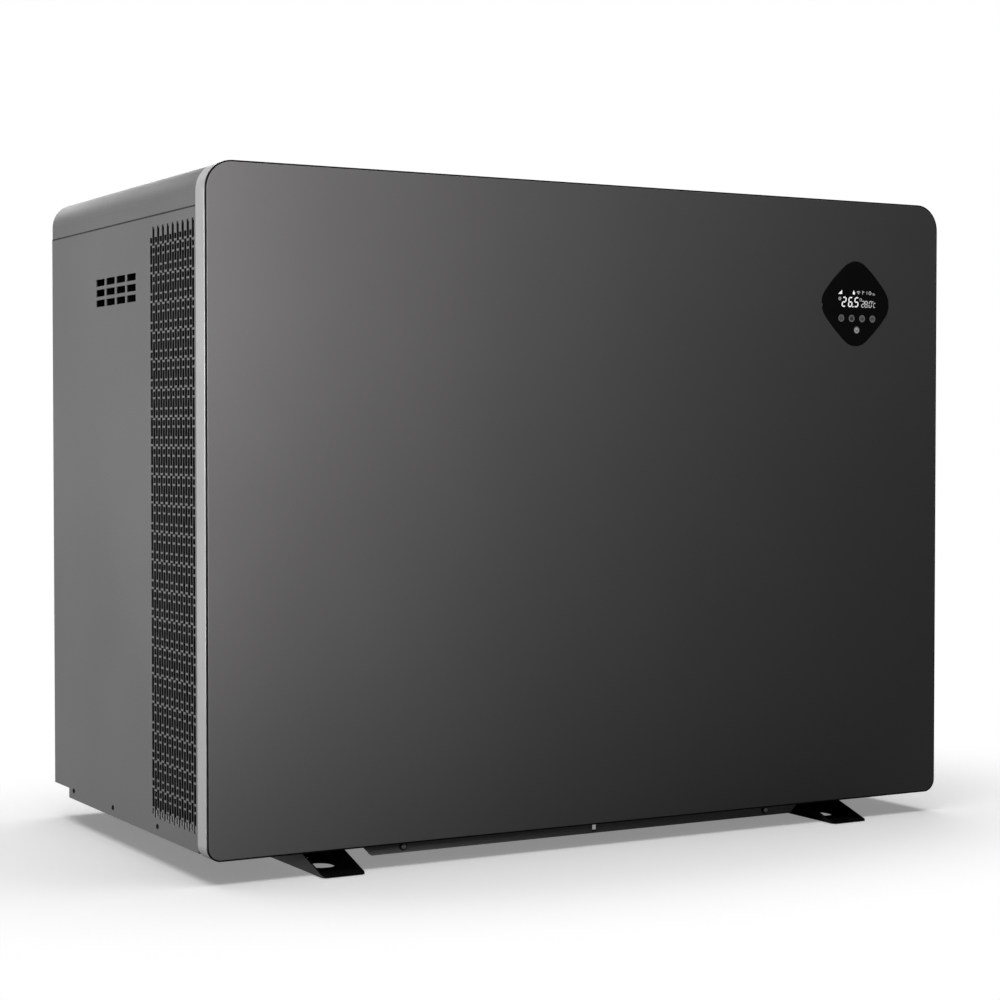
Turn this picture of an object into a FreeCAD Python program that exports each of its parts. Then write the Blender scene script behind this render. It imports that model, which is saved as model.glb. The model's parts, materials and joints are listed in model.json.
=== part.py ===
import FreeCAD, Part
import Sketcher
import math
import os
from FreeCAD import Placement, Rotation, Vector

# Side-discharge pool heat pump: a casing on two foot rails, with the air coil and fan on the
# left (-X) and the compressor, water heat exchanger and control box on the right (+X).
# Millimetres, +Z up, front of the unit towards -Y.
# Origin: ground level, at the centre of the four anchor holes in the foot rails.

doc = FreeCAD.newDocument("pool_heat_pump")
sheet = doc.addObject("Spreadsheet::Sheet", "Sizes")
sheet.set("A1", "size")
sheet.set("B1", "mm")
sheet_rows = [1]


class Size:
    """A number together with the spreadsheet expression it comes from."""

    def __init__(self, value, text):
        self.value = float(value)
        self.text = text

    def __float__(self):
        return self.value

    def __add__(self, other):
        other = as_size(other)
        return Size(self.value + other.value, "(%s + %s)" % (self.text, other.text))

    __radd__ = __add__

    def __sub__(self, other):
        other = as_size(other)
        return Size(self.value - other.value, "(%s - %s)" % (self.text, other.text))

    def __rsub__(self, other):
        return as_size(other) - self

    def __mul__(self, other):
        other = as_size(other)
        return Size(self.value * other.value, "(%s * %s)" % (self.text, other.text))

    __rmul__ = __mul__

    def __truediv__(self, other):
        other = as_size(other)
        return Size(self.value / other.value, "(%s / %s)" % (self.text, other.text))

    def __neg__(self):
        return Size(-self.value, "(-1 * %s)" % self.text)


def as_size(number):
    return number if isinstance(number, Size) else Size(number, "(%r)" % float(number))


def size(alias, value):
    """Driving dimension in the next row of the sheet."""
    sheet_rows[0] += 1
    sheet.set("A%d" % sheet_rows[0], alias)
    sheet.set("B%d" % sheet_rows[0], repr(float(value)))
    sheet.setAlias("B%d" % sheet_rows[0], alias)
    return Size(value, "Sizes.%s" % alias)


# ------------------------------------------------------------------ driving dimensions
panel_width = size("panel_width", 960)
panel_height = size("panel_height", 720)
ground_gap = size("ground_gap", 24)
body_depth = size("body_depth", 496)
frame_depth = size("frame_depth", 27)
panel_thickness = size("panel_thickness", 3)
trim_width = size("trim_width", 1.5)
radius_top = size("corner_radius_top", 30)
radius_bottom = size("corner_radius_bottom", 15)
frame_wall = size("frame_wall", 3)
skin = size("skin_thickness", 1.2)
skin_inset = size("skin_inset", 1)
seam_z = size("seam_height", 699)
side_bottom_z = size("side_bottom_height", 29.4)
notch_length = size("notch_length", 53)
notch_height = size("notch_height", 11.5)
pan_thickness = size("pan_thickness", 1.5)
pan_z = size("pan_height", 29)
pan_upstand = size("pan_upstand", 27)
apron_drop = size("apron_drop", 20)
apron_half = size("apron_half_width", 290)
foot_x = size("foot_spacing_half", 334)
foot_width = size("foot_width", 50)
foot_length = size("foot_length", 536)
foot_thickness = size("foot_thickness", 2)
anchor_y = size("anchor_spacing_half", 257)
anchor_radius = size("anchor_hole_radius", 4.5)
slot_width = size("slot_width", 6.1)
slot_pitch = size("slot_pitch", 7.15)
slot_long = size("slot_long", 20.4)
slot_short = size("slot_short", 6.0)
slot_web = size("slot_web", 2.25)
control_x = size("controller_centre_x", 354)
control_z = size("controller_centre_z", 621)
control_side_radius = size("controller_side_radius", 193)
control_side_offset = size("controller_side_offset", 105.3)
deck_y = size("deck_position", -78)
fan_x = size("fan_centre_x", -165)
fan_z = size("fan_centre_z", 366)
fan_radius = size("fan_radius", 225)
partition_x = size("partition_position", 122)
coil_left = size("coil_left", -452)
coil_right = size("coil_right", 92)
coil_front = size("coil_front", 196)
coil_thickness = size("coil_thickness", 44)
coil_bottom = size("coil_bottom", 46)
coil_height = size("coil_height", 650)
coil_tube_radius = size("coil_tube_radius", 4.75)
comp_x = size("compressor_x", 240)
comp_y = size("compressor_y", 28)
comp_radius = size("compressor_radius", 62)
exch_x = size("exchanger_x", 388)
exch_y = size("exchanger_y", 132)
exch_radius = size("exchanger_radius", 70)
inlet_z = size("inlet_height", 130)
outlet_z = size("outlet_height", 430)
water_y = size("water_port_y", 132)
pipe_bore = size("pipe_bore_radius", 21)
socket_radius = size("socket_radius", 25.15)

# faces of the casing
front_y = -body_depth / 2
rear_y = body_depth / 2
frame_y = front_y + frame_depth  # rear edge of the front frame
skin_x = panel_width / 2 - skin_inset  # outer face of the side panels, as half width
top_z = ground_gap + panel_height
side_top_z = seam_z - trim_width / 2

# places shared by several pieces
SIDES = (-1, 1)
OUTWARD = {-1: "-x", 1: "x"}
SIDE_SCREWS_Y = (-102, 40, 177)
side_screw_z = side_bottom_z + 10.4
APRON_SCREW_X, APRON_SCREW_Z = 242, 15.8
REAR_SCREWS_Z = (60, 360, 680)
FOOT_BOLTS_Y = (-150, 150)
SCREW_HOLE = 2.2  # radius
BOLT_HOLE = 3.3  # radius
DRAIN = (-120, 120)  # x, y
GAUGE_Y, GAUGE_Z = -40, 380
GLAND_Y, GLANDS_Z = 200, (548, 578)
PORTS_Z = (inlet_z, outlet_z)


# ------------------------------------------------------------------ helpers
def point(*coordinates):
    return Vector(*[float(c) for c in coordinates])


def direction(toward):
    """Unit vector for "x", "-y" and so on."""
    axis = Vector(*[float(name == toward[-1]) for name in "xyz"])
    return axis * (-1 if toward[0] == "-" else 1)


def polar(radius, degrees, x, y):
    """Point at an angle on the circle round (x, y)."""
    angle = math.radians(degrees)
    return x + radius * math.cos(angle), y + radius * math.sin(angle)


def span(side, near, far, centre=0):
    """Ends, in rising order, of the stretch near to far on one side (-1 or 1) of centre."""
    ends = (centre + side * near, centre + side * far)
    return ends if side > 0 else ends[::-1]


def bind(o, prop, value):
    if isinstance(value, Size):
        o.setExpression(prop, value.text)
    else:
        setattr(o, prop, float(value))


def at(o, x, y, z, turn=Rotation()):
    o.Placement = Placement(point(x, y, z), turn)
    for axis, value in (("x", x), ("y", y), ("z", z)):
        if isinstance(value, Size):
            o.setExpression("Placement.Base." + axis, value.text)


# rotation that lays a primitive's own z axis along the named direction
TURNS = {
    "z": Rotation(),
    "y": Rotation(Vector(1, 0, 0), -90),
    "x": Rotation(Vector(0, 1, 0), 90),
    "-z": Rotation(Vector(1, 0, 0), 180),
    "-y": Rotation(Vector(1, 0, 0), 90),
    "-x": Rotation(Vector(0, 1, 0), -90),
}


def primitive(kind, sizes, x, y, z, toward="z"):
    """Part primitive with its properties bound to sizes."""
    o = doc.addObject("Part::" + kind, kind.lower())
    for prop, value in sizes.items():
        bind(o, prop, value)
    at(o, x, y, z, TURNS[toward])
    return o


def box(x0, x1, y0, y1, z0, z1):
    """Box between two corners."""
    sizes = {"Length": x1 - x0, "Width": y1 - y0, "Height": z1 - z0}
    return primitive("Box", sizes, x0, y0, z0)


def cylinder(radius, length, x, y, z, toward="z"):
    """Cylinder starting at (x, y, z) and running in the named direction."""
    return primitive("Cylinder", {"Radius": radius, "Height": length}, x, y, z, toward)


def combined(kind, prop, parts):
    o = doc.addObject("Part::" + kind, kind.lower())
    setattr(o, prop, list(parts))
    return o


def fuse(*parts):
    return combined("MultiFuse", "Shapes", parts)


def common(*parts):
    return combined("MultiCommon", "Shapes", parts)


def group(*parts):
    return combined("Compound", "Links", parts)


def cut(base, *tools):
    o = doc.addObject("Part::Cut", "cut")
    o.Base = base
    o.Tool = tools[0] if len(tools) == 1 else fuse(*tools)
    return o


def rounded(base, pick, radius):
    """Part::Fillet on the edges that pick(edge) accepts."""
    doc.recompute()
    o = doc.addObject("Part::Fillet", "rounded")
    o.Base = base
    radius = float(radius)
    edges = enumerate(base.Shape.Edges)
    o.Edges = [(i + 1, radius, radius) for i, edge in edges if pick(edge)]
    return o


def feature(shape):
    o = doc.addObject("Part::Feature", "shape")
    o.Shape = shape
    return o


nodes = {}


def node(label, piece):
    """Register a finished piece: a document object, a shape, or a list of shapes."""
    if isinstance(piece, list):
        piece = Part.makeCompound(piece)
    if isinstance(piece, Part.Shape):
        piece = feature(piece)
    piece.Label = label
    nodes[label] = piece


# PartDesign helpers
def origin_feature(body, role):
    return [f for f in body.Origin.OriginFeatures if f.Role == role][0]


def sketch_on(body, plane, offset=0):
    sketch = body.newObject("Sketcher::SketchObject", "sketch_" + body.Name)
    sketch.AttachmentSupport = [(origin_feature(body, plane + "_Plane"), "")]
    sketch.MapMode = "FlatFace"
    sketch.AttachmentOffset = Placement(point(0, 0, offset), Rotation())
    if isinstance(offset, Size):
        sketch.setExpression("AttachmentOffset.Base.z", offset.text)
    return sketch


def hold_point(sketch, line, x, y):
    """Tie the start of a line to the sketch axes."""
    for kind, axis, value in (("DistanceX", -2, x), ("DistanceY", -1, y)):
        if abs(float(value)) < 1e-9 and not isinstance(value, Size):
            sketch.addConstraint(Sketcher.Constraint("PointOnObject", line, 1, axis))
        else:
            held = Sketcher.Constraint(kind, -1, 1, line, 1, float(value))
            index = sketch.addConstraint(held)
            if isinstance(value, Size):
                sketch.setExpression("Constraints[%d]" % index, value.text)


def polygon(sketch, points):
    """Closed polygon whose corners are each held by the sheet."""
    count = len(points)
    corners = [point(a, b, 0) for a, b in points]
    for i in range(count):
        sketch.addGeometry(Part.LineSegment(corners[i], corners[(i + 1) % count]), False)
    for i in range(count):
        sketch.addConstraint(Sketcher.Constraint("Coincident", i, 2, (i + 1) % count, 1))
    for i, (a, b) in enumerate(points):
        hold_point(sketch, i, a, b)


def rectangle(a0, a1, b0, b1):
    return [(a0, b0), (a1, b0), (a1, b1), (a0, b1)]


def prism(name, plane, start, length, points):
    """Body padded from start along the positive axis; the XZ plane itself faces -Y."""
    body = doc.addObject("PartDesign::Body", name)
    facing_back = plane == "XZ"
    sketch = sketch_on(body, plane, -start if facing_back else start)
    polygon(sketch, points)
    pad = body.newObject("PartDesign::Pad", "pad_" + body.Name)
    pad.Profile = sketch
    bind(pad, "Length", length)
    pad.Reversed = facing_back
    return body


def revolved(name, points, x, y):
    """Solid of revolution of (radius, z) points about the vertical axis through (x, y)."""
    body = doc.addObject("PartDesign::Body", name)
    sketch = sketch_on(body, "XZ")
    polygon(sketch, points)
    turned = body.newObject("PartDesign::Revolution", "revolution_" + body.Name)
    turned.Profile = sketch
    turned.ReferenceAxis = (origin_feature(body, "Z_Axis"), [""])
    turned.Angle = 360
    body.Placement = Placement(point(x, y, 0), Rotation())
    return body


def fillet(body, pick, radius):
    doc.recompute()
    base = body.Tip
    names = ["Edge%d" % (i + 1) for i, edge in enumerate(base.Shape.Edges) if pick(edge)]
    if not names:
        raise RuntimeError("no edge to round in %s" % body.Name)
    o = body.newObject("PartDesign::Fillet", "fillet_" + body.Name)
    o.Base = (base, names)
    bind(o, "Radius", radius)


def along_y(edge):
    bounds = edge.BoundBox
    return bounds.YLength > 1e-6 and bounds.XLength < 1e-6 and bounds.ZLength < 1e-6


def along_y_above(z):
    return lambda edge: along_y(edge) and edge.BoundBox.ZMin > float(z)


def along_y_below(z):
    return lambda edge: along_y(edge) and edge.BoundBox.ZMax < float(z)


def in_front_of(y):
    return lambda edge: edge.BoundBox.YMax < float(y)


# Plain shapes
def plain_cylinder(radius, length, x, y, z, toward="z"):
    return Part.makeCylinder(radius, length, point(x, y, z), direction(toward))


def wire_at(x, points):
    """Closed outline through (y, z) points in the plane at x."""
    corners = [point(x, y, z) for y, z in points]
    return Part.makePolygon(corners + corners[:1])


def circle_at(x, y, z, radius):
    return Part.Wire([Part.makeCircle(radius, point(x, y, z), Vector(1, 0, 0))])


def face_with_holes(wires):
    return Part.makeFace(wires, "Part::FaceMakerCheese")


def tube_path(points, bend):
    """Wire through the points, with arcs of radius bend at the corners."""
    edges = []
    last = points[0]
    for before, corner, after in zip(points, points[1:], points[2:]):
        back = (before - corner).normalize()
        ahead = (after - corner).normalize()
        angle = back.getAngle(ahead)
        trim = bend / math.tan(angle / 2)
        start, end = corner + back * trim, corner + ahead * trim
        inward = (back + ahead).normalize()
        middle = corner + inward * (bend / math.sin(angle / 2) - bend)
        if (start - last).Length > 1e-6:
            edges.append(Part.LineSegment(last, start).toShape())
        edges.append(Part.Arc(start, middle, end).toShape())
        last = end
    edges.append(Part.LineSegment(last, points[-1]).toShape())
    return Part.Wire(edges)


def bent_tube(points, bend, radius, wall):
    points = [point(*p) for p in points]
    start = points[0]
    along = points[1] - start
    rings = [Part.Wire([Part.makeCircle(r, start, along)]) for r in (radius, radius - wall)]
    return tube_path(points, bend).makePipe(face_with_holes(rings))


# ------------------------------------------------------------------ front panel, trim and frame
CONTROL_CORNER = 25


def slab(name, y, length, inset=0, radii=None):
    """Rounded upright plate from y backwards, set in from the panel outline."""
    top, bottom = radii or (radius_top - inset, radius_bottom - inset)
    half_width = panel_width / 2 - inset
    z0 = ground_gap + inset
    outline = rectangle(-half_width, half_width, z0, z0 + panel_height - 2 * inset)
    body = prism(name, "XZ", y, length, outline)
    middle_z = ground_gap + panel_height / 2
    fillet(body, along_y_above(middle_z), top)
    fillet(body, along_y_below(middle_z), bottom)
    return body


def control_diamond(grow, y0, y1):
    """Controller outline: diamond with bowed sides and rounded corners, between y0 and y1."""
    sides = [
        cylinder(
            control_side_radius + grow,
            y1 - y0,
            control_x + side_x * control_side_offset,
            y0,
            control_z + side_z * control_side_offset,
            "y",
        )
        for side_x in SIDES
        for side_z in SIDES
    ]
    return rounded(common(*sides), along_y, CONTROL_CORNER + grow)


plate = slab("front_panel_plate", front_y, panel_thickness, trim_width)
plate = rounded(plate, in_front_of(front_y + 0.01), 0.5)
node("front_panel", cut(plate, control_diamond(0.35, front_y - 2, front_y + 8)))

trim_outer = slab("trim_outer", front_y + 0.4, panel_thickness - 0.4)
trim_inner = slab("trim_inner", front_y - 2, panel_thickness + 6, trim_width - 0.05)
node("panel_edge_trim", cut(trim_outer, trim_inner))

panel_back_y = front_y + panel_thickness
frame = slab("front_frame", panel_back_y, frame_depth - panel_thickness)
fillet(frame, in_front_of(panel_back_y + 0.01), 1.0)
frame_hollow = slab("front_frame_hollow", panel_back_y + 2, frame_depth + 4, frame_wall)
frame_window = slab("front_frame_window", panel_back_y - 1, 9, 18, (12, 12))
node("front_frame", cut(frame, frame_hollow, frame_window))

# ------------------------------------------------------------------ top cover
cover_depth = body_depth - frame_depth
cover = prism(
    "top_cover_body",
    "XZ",
    frame_y,
    cover_depth,
    rectangle(-skin_x, skin_x, seam_z + trim_width / 2, top_z - 1),
)
fillet(cover, along_y_above(730), radius_top - 1)
fillet(
    cover,
    lambda edge: edge.BoundBox.YMin > float(rear_y) - 0.01 and edge.BoundBox.ZMax > 700.5,
    2,
)
cover_hollow = prism(
    "top_cover_hollow",
    "XZ",
    frame_y + skin,
    cover_depth - 2 * skin,
    rectangle(-(skin_x - skin), skin_x - skin, seam_z - 20, top_z - 1 - skin),
)
fillet(cover_hollow, along_y_above(730), radius_top - 1 - skin)


def cover_strips(outer_gap, z0):
    """Strips inside both sides of the cover, from z0 to just above the seam."""
    return [
        box(
            *span(side, skin_x - 2.45, skin_x - outer_gap),
            frame_y + 8,
            rear_y - 8,
            z0,
            seam_z + 6,
        )
        for side in SIDES
    ]


# lips standing down behind the seam, thickened above it to meet the cover
cover_lips = cover_strips(1.25, seam_z - 14)
cover_hooks = cover_strips(1.1, seam_z + 2)
node("top_cover", fuse(cut(cover, cover_hollow), *cover_lips, *cover_hooks))

# ------------------------------------------------------------------ side panels
# vent holes: lower front corner of the first, then size, pitch and number
VENT_Y, VENT_WIDTH, VENT_PITCH, VENT_COLUMNS = -41.4, 27.3, 33.9, 4
VENT_Z, VENT_HEIGHT, VENT_RISE, VENT_ROWS = 609.8, 7.9, 11.75, 3
# punched field of upright slots
FIELD_Y, FIELD_COLUMNS = -150.5, 18  # centre
FIELD_Z0, FIELD_Z1 = 47.0, 696.0


def slot_columns():
    """(y, slots) per column: long and short slots by turns, every other column shifted."""
    columns = []
    half = float(slot_width) / 2
    lengths = (float(slot_long), float(slot_short))
    for column in range(FIELD_COLUMNS):
        y = FIELD_Y + (column - (FIELD_COLUMNS - 1) / 2) * float(slot_pitch)
        turn = column % 2
        z = FIELD_Z0 + (4.5 if turn else 1.6)
        slots = []
        while z + lengths[turn] <= FIELD_Z1 - 1:
            slots.append((y - half, y + half, z, z + lengths[turn]))
            z += lengths[turn] + float(slot_web)
            turn = 1 - turn
        columns.append((y, slots))
    return columns


def side_outline():
    """Outline in (y, z) with the raised step at the rear corner."""
    step_y, step_z = rear_y - notch_length, side_bottom_z + notch_height
    return [
        (frame_y, side_bottom_z),
        (step_y, side_bottom_z),
        (step_y, step_z),
        (rear_y, step_z),
        (rear_y, side_top_z),
        (frame_y, side_top_z),
    ]


def side_holes(x, side):
    """Holes outside the punched field; ports, gauge and glands are on the right only."""
    holes = []
    for i in range(VENT_COLUMNS):
        for k in range(VENT_ROWS):
            y = VENT_Y + i * VENT_PITCH
            z = VENT_Z + k * VENT_RISE
            holes.append(wire_at(x, rectangle(y, y + VENT_WIDTH, z, z + VENT_HEIGHT)))
    holes += [circle_at(x, y, side_screw_z, SCREW_HOLE) for y in SIDE_SCREWS_Y]
    if side > 0:
        holes += [circle_at(x, water_y, z, 25.6) for z in PORTS_Z]
        holes.append(circle_at(x, GAUGE_Y, GAUGE_Z, 29.2))
        holes += [circle_at(x, GLAND_Y, z, 8.2) for z in GLANDS_Z]
    return holes


def side_panel(label, side):
    """Punched sheet.  The punched field is laid out column by column, so each face
    of the sheet stays small; the faces are then closed into one solid."""
    x = side * float(skin_x - skin)
    step = Vector(side * float(skin), 0, 0)
    columns = slot_columns()
    half = float(slot_pitch) / 2
    rim = [y - half for y, _ in columns] + [columns[-1][0] + half]
    field = [(y, FIELD_Z0) for y in rim] + [(y, FIELD_Z1) for y in reversed(rim)]
    slots = []
    faces = []
    for (_, column), y0, y1 in zip(columns, rim[:-1], rim[1:]):
        column_slots = [wire_at(x, rectangle(*slot)) for slot in column]
        border = wire_at(x, rectangle(y0, y1, FIELD_Z0, FIELD_Z1))
        faces.append(face_with_holes([border] + column_slots))
        slots += column_slots
    outer = wire_at(x, side_outline())
    holes = side_holes(x, side)
    faces.append(face_with_holes([outer, wire_at(x, field)] + holes))
    far_faces = [face.translated(step) for face in faces]
    walls = []
    for wire in [outer] + holes + slots:
        walls += wire.extrude(step).Faces
    shell = Part.makeShell(faces + far_faces + walls)
    shell.sewShape()
    solid = Part.makeSolid(shell.Shells[0])
    if solid.Volume < 0:
        solid.reverse()
    node(label, solid)


side_panel("left_side_panel", -1)
side_panel("right_side_panel", 1)


def vent_insert(label, side):
    """Open tray with cross bars behind the vents."""
    face_x = skin_x - skin
    tray = box(*span(side, face_x - 10, face_x), -48, 95, 603, 648)
    hollow = box(*span(side, face_x - 8.5, face_x + 1), -46, 93, 605, 646)
    bars = [
        box(*span(side, face_x - 9, face_x - 1), -46.5, 93.5, z, z + 1.2)
        for z in (607.4, 619.2, 630.95, 642.0)
    ]
    node(label, fuse(cut(tray, hollow), *bars))


vent_insert("left_vent_insert", -1)
vent_insert("right_vent_insert", 1)


def rear_post(label, side):
    """Angle-section corner post inside the side panel."""
    outer_x = skin_x - skin - 0.02
    z0 = pan_z + pan_upstand + 0.5
    section = [
        (outer_x, rear_y - 2),
        (outer_x, rear_y - 30),
        (outer_x - 1.2, rear_y - 30),
        (outer_x - 1.2, rear_y - 3.2),
        (outer_x - 14, rear_y - 3.2),
        (outer_x - 14, rear_y - 2),
    ]
    post = prism(label, "XY", z0, seam_z - 16 - z0, [(x * side, y) for x, y in section])
    hole_x = (skin_x - 10) * side
    holes = [cylinder(SCREW_HOLE, 8, hole_x, rear_y - 6, z, "y") for z in REAR_SCREWS_Z]
    node(label, cut(post, *holes))


rear_post("left_rear_post", -1)
rear_post("right_rear_post", 1)

# ------------------------------------------------------------------ base pan
pan_x = skin_x - skin - 0.3
pan_floor_z = pan_z + pan_thickness  # upper face of the floor
apron_y = frame_y + 0.5  # front face of pan and front apron
pan_rear_y = rear_y - 0.5
notch_y = rear_y - notch_length - 2


def apron(name, y0, y1, lip_y0, lip_y1):
    """Plate hanging below the pan, with bevelled lower corners and a lip along the bottom."""
    low_z = pan_z - apron_drop
    outline = [
        (-(apron_half - 10), low_z),
        (apron_half - 10, low_z),
        (apron_half, low_z + 10),
        (apron_half, pan_z + 0.5),
        (-apron_half, pan_z + 0.5),
        (-apron_half, low_z + 10),
    ]
    lip_x = apron_half - 12
    lip = box(-lip_x, lip_x, lip_y0, lip_y1, low_z, low_z + 1.5)
    return [prism(name, "XZ", y0, y1 - y0, outline), lip]


def pan_holes():
    holes = [
        cylinder(10.1, 20, *DRAIN, pan_z - 5),
        # narrow slot in the front apron
        box(0.2, 5.8, apron_y - 1, apron_y + pan_thickness + 0.5, 10.5, 28.5),
    ]
    # corners cut away under the raised rear corners of the side panels
    for side in SIDES:
        corner = span(side, pan_x - 20, pan_x + 1)
        holes.append(box(*corner, notch_y, rear_y + 1, pan_z - 1, pan_z + 14))
    for side in SIDES:
        screw_x = side * APRON_SCREW_X
        holes.append(cylinder(SCREW_HOLE, 8, screw_x, apron_y - 2, APRON_SCREW_Z, "y"))
        for y in SIDE_SCREWS_Y:
            wall_x = side * (pan_x - 5)
            holes.append(cylinder(SCREW_HOLE, 8, wall_x, y, side_screw_z, OUTWARD[side]))
        for y in FOOT_BOLTS_Y:
            holes.append(cylinder(BOLT_HOLE, 6, foot_x * side, y, pan_z - 2))
    return holes


pan_floor = box(-pan_x, pan_x, apron_y, pan_rear_y, pan_z, pan_floor_z)
wall_top = pan_z + pan_upstand
pan_walls = [
    box(-pan_x, -(pan_x - pan_thickness), apron_y, notch_y, pan_z, wall_top),
    box(pan_x - pan_thickness, pan_x, apron_y, notch_y, pan_z, wall_top),
    box(-pan_x, pan_x, pan_rear_y - pan_thickness, pan_rear_y, pan_z, pan_z + 12.5),
    box(-pan_x, pan_x, apron_y, apron_y + pan_thickness, pan_z, wall_top),
]
front_apron = apron("front_apron", apron_y, apron_y + pan_thickness, apron_y, apron_y + 12)
rear_apron = apron("rear_apron", rear_y - 2 - pan_thickness, rear_y - 2, rear_y - 14, rear_y - 2)
node("base_pan", cut(fuse(pan_floor, *pan_walls, *front_apron, *rear_apron), *pan_holes()))


# ------------------------------------------------------------------ foot rails
def foot_rail(label, side):
    centre = foot_x * side
    half = foot_width / 2
    wall = foot_thickness
    tip = foot_length / 2
    lip = 14  # width of the inturned top lips
    section = [
        (centre - half, 0),
        (centre + half, 0),
        (centre + half, pan_z),
        (centre + half - lip, pan_z),
        (centre + half - lip, pan_z - wall),
        (centre + half - wall, pan_z - wall),
        (centre + half - wall, wall),
        (centre - half + wall, wall),
        (centre - half + wall, pan_z - wall),
        (centre - half + lip, pan_z - wall),
        (centre - half + lip, pan_z),
        (centre - half, pan_z),
    ]
    rail = prism(label + "_section", "XZ", -tip, foot_length, section)

    # slopes that take the walls down to the bottom plate at both ends
    ramps = []
    for end, suffix in ((-1, "_ramp_front"), (1, "_ramp_rear")):
        slope = [
            (tip + 2, wall),
            (tip - 4.5, wall),
            (tip - 73.5, ground_gap - 0.5),
            (tip - 75, ground_gap + 30),
            (tip + 2, ground_gap + 30),
        ]
        slope = [(y * end, z) for y, z in slope]
        ramps.append(prism(label + suffix, "YZ", centre - half - 2, foot_width + 4, slope))

    # rounded corners of the bottom plate
    corners = []
    corner_radius = 6
    for end in SIDES:
        for edge in SIDES:
            block = box(
                *span(edge, half - corner_radius, half, centre),
                *span(end, tip - corner_radius, tip),
                -1,
                ground_gap + 10,
            )
            x = centre + edge * (half - corner_radius)
            y = end * (tip - corner_radius)
            corners.append(cut(block, cylinder(corner_radius, ground_gap + 12, x, y, -1.5)))

    # each end: anchor hole, oblong hole, then two round holes
    holes = []
    for end in SIDES:
        oblong = fuse(
            cylinder(15, 6, centre, (anchor_y - 48) * end, -1),
            cylinder(15, 6, centre, (anchor_y - 54) * end, -1),
            box(centre - 15, centre + 15, *span(end, anchor_y - 54, anchor_y - 48), -1, 5),
        )
        holes += [
            cylinder(anchor_radius, 6, centre, anchor_y * end, -1),
            oblong,
            cylinder(10, 6, centre, (anchor_y - 103) * end, -1),
            cylinder(4, 6, centre, (anchor_y - 150) * end, -1),
        ]

    # bridge plates under the pan carry the bolts
    inner = half - lip + 1
    bridges = [
        cut(
            box(centre - inner, centre + inner, y - 22, y + 22, pan_z - wall, pan_z),
            cylinder(BOLT_HOLE, 8, centre, y, pan_z - 6),
        )
        for y in FOOT_BOLTS_Y
    ]
    node(label, fuse(cut(rail, *ramps, *corners, *holes), *bridges))


foot_rail("left_foot_rail", -1)
foot_rail("right_foot_rail", 1)


# ------------------------------------------------------------------ screws
def pan_head(x, y, z, toward, radius, height, shank, length, drive=2.4):
    """Round head with a hex recess, shank (radius, length) running back from the seat."""
    seat = point(x, y, z)
    axis = direction(toward)
    crown = seat + axis * height
    head = Part.makeCylinder(radius, height, seat, axis)
    rim = [e for e in head.Edges if e.Closed and (e.CenterOfMass - crown).Length < 1e-6]
    head = head.makeFillet(height * 0.45, rim)
    screw = head.fuse(Part.makeCylinder(shank, length, seat - axis * length, axis))
    up = Vector(0, 0, 1) if abs(axis.z) < 0.5 else Vector(1, 0, 0)
    across = axis.cross(up)
    reach = drive / 2 * 1.15
    corners = []
    for i in range(6):
        a, b = polar(reach, 60 * i, 0, 0)
        corners.append(seat + axis * (height * 0.35) + up * a + across * b)
    recess = Part.Face(Part.makePolygon(corners + corners[:1])).extrude(axis * height)
    return screw.cut(recess).removeSplitter()


side_screw = {"radius": 2.7, "height": 0.9, "shank": 1.95, "length": 9}
apron_screw = {"radius": 2.9, "height": 2.0, "shank": 1.95, "length": 10}
rear_screw = {"radius": 4, "height": 2.2, "shank": 1.95, "length": 8}
foot_bolt = {"radius": 6, "height": 3.6, "shank": 2.95, "length": 14, "drive": 4}
washer_thickness = 1.2

node(
    "side_panel_screws",
    [
        pan_head(side * skin_x, y, side_screw_z, OUTWARD[side], **side_screw)
        for side in SIDES
        for y in SIDE_SCREWS_Y
    ],
)
washer_y = apron_y - washer_thickness
node(
    "apron_screws",
    [
        pan_head(side * APRON_SCREW_X, washer_y, APRON_SCREW_Z, "-y", **apron_screw)
        for side in SIDES
    ],
)
node(
    "apron_washers",
    [
        plain_cylinder(4.4, washer_thickness, x, washer_y, APRON_SCREW_Z, "y").cut(
            plain_cylinder(2.1, 3, x, apron_y - 2, APRON_SCREW_Z, "y")
        )
        for x in (-APRON_SCREW_X, APRON_SCREW_X)
    ],
)
node(
    "foot_rail_bolts",
    [
        pan_head(side * foot_x, y, pan_floor_z, "z", **foot_bolt)
        for side in SIDES
        for y in FOOT_BOLTS_Y
    ],
)


# ------------------------------------------------------------------ fan deck and partition
def fan_disc(radius, length, y):
    """Cylinder on the fan axis, from y backwards."""
    return cylinder(radius, length, fan_x, y, fan_z, "y")


deck_x = panel_width / 2 - 5
wall_z0 = pan_floor_z + 0.5
deck = prism("fan_deck_plate", "XZ", deck_y, 1.5, rectangle(-deck_x, deck_x, wall_z0, top_z - 6))
fillet(deck, along_y_above(700), 34)
mouth_radius = fan_radius + 7
collar = fan_disc(mouth_radius + 1.5, 52, deck_y)
node("fan_deck", cut(fuse(deck, collar), fan_disc(mouth_radius, 70, deck_y - 8)))

# partition between the fan side and the machine side, flanged at both ends
partition_y0, partition_y1 = deck_y + 1.6, 186
partition_top = seam_z - 6
flange_x = partition_x + 14
partition = fuse(
    box(partition_x, partition_x + 1.2, partition_y0, partition_y1, wall_z0, partition_top),
    box(partition_x, flange_x, partition_y0, partition_y0 + 1.2, wall_z0, partition_top),
    box(partition_x, flange_x, partition_y1 - 1.2, partition_y1, wall_z0, partition_top),
)
node("partition_panel", cut(partition, cylinder(11, 6, partition_x - 2, 100, 560, "x")))

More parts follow.
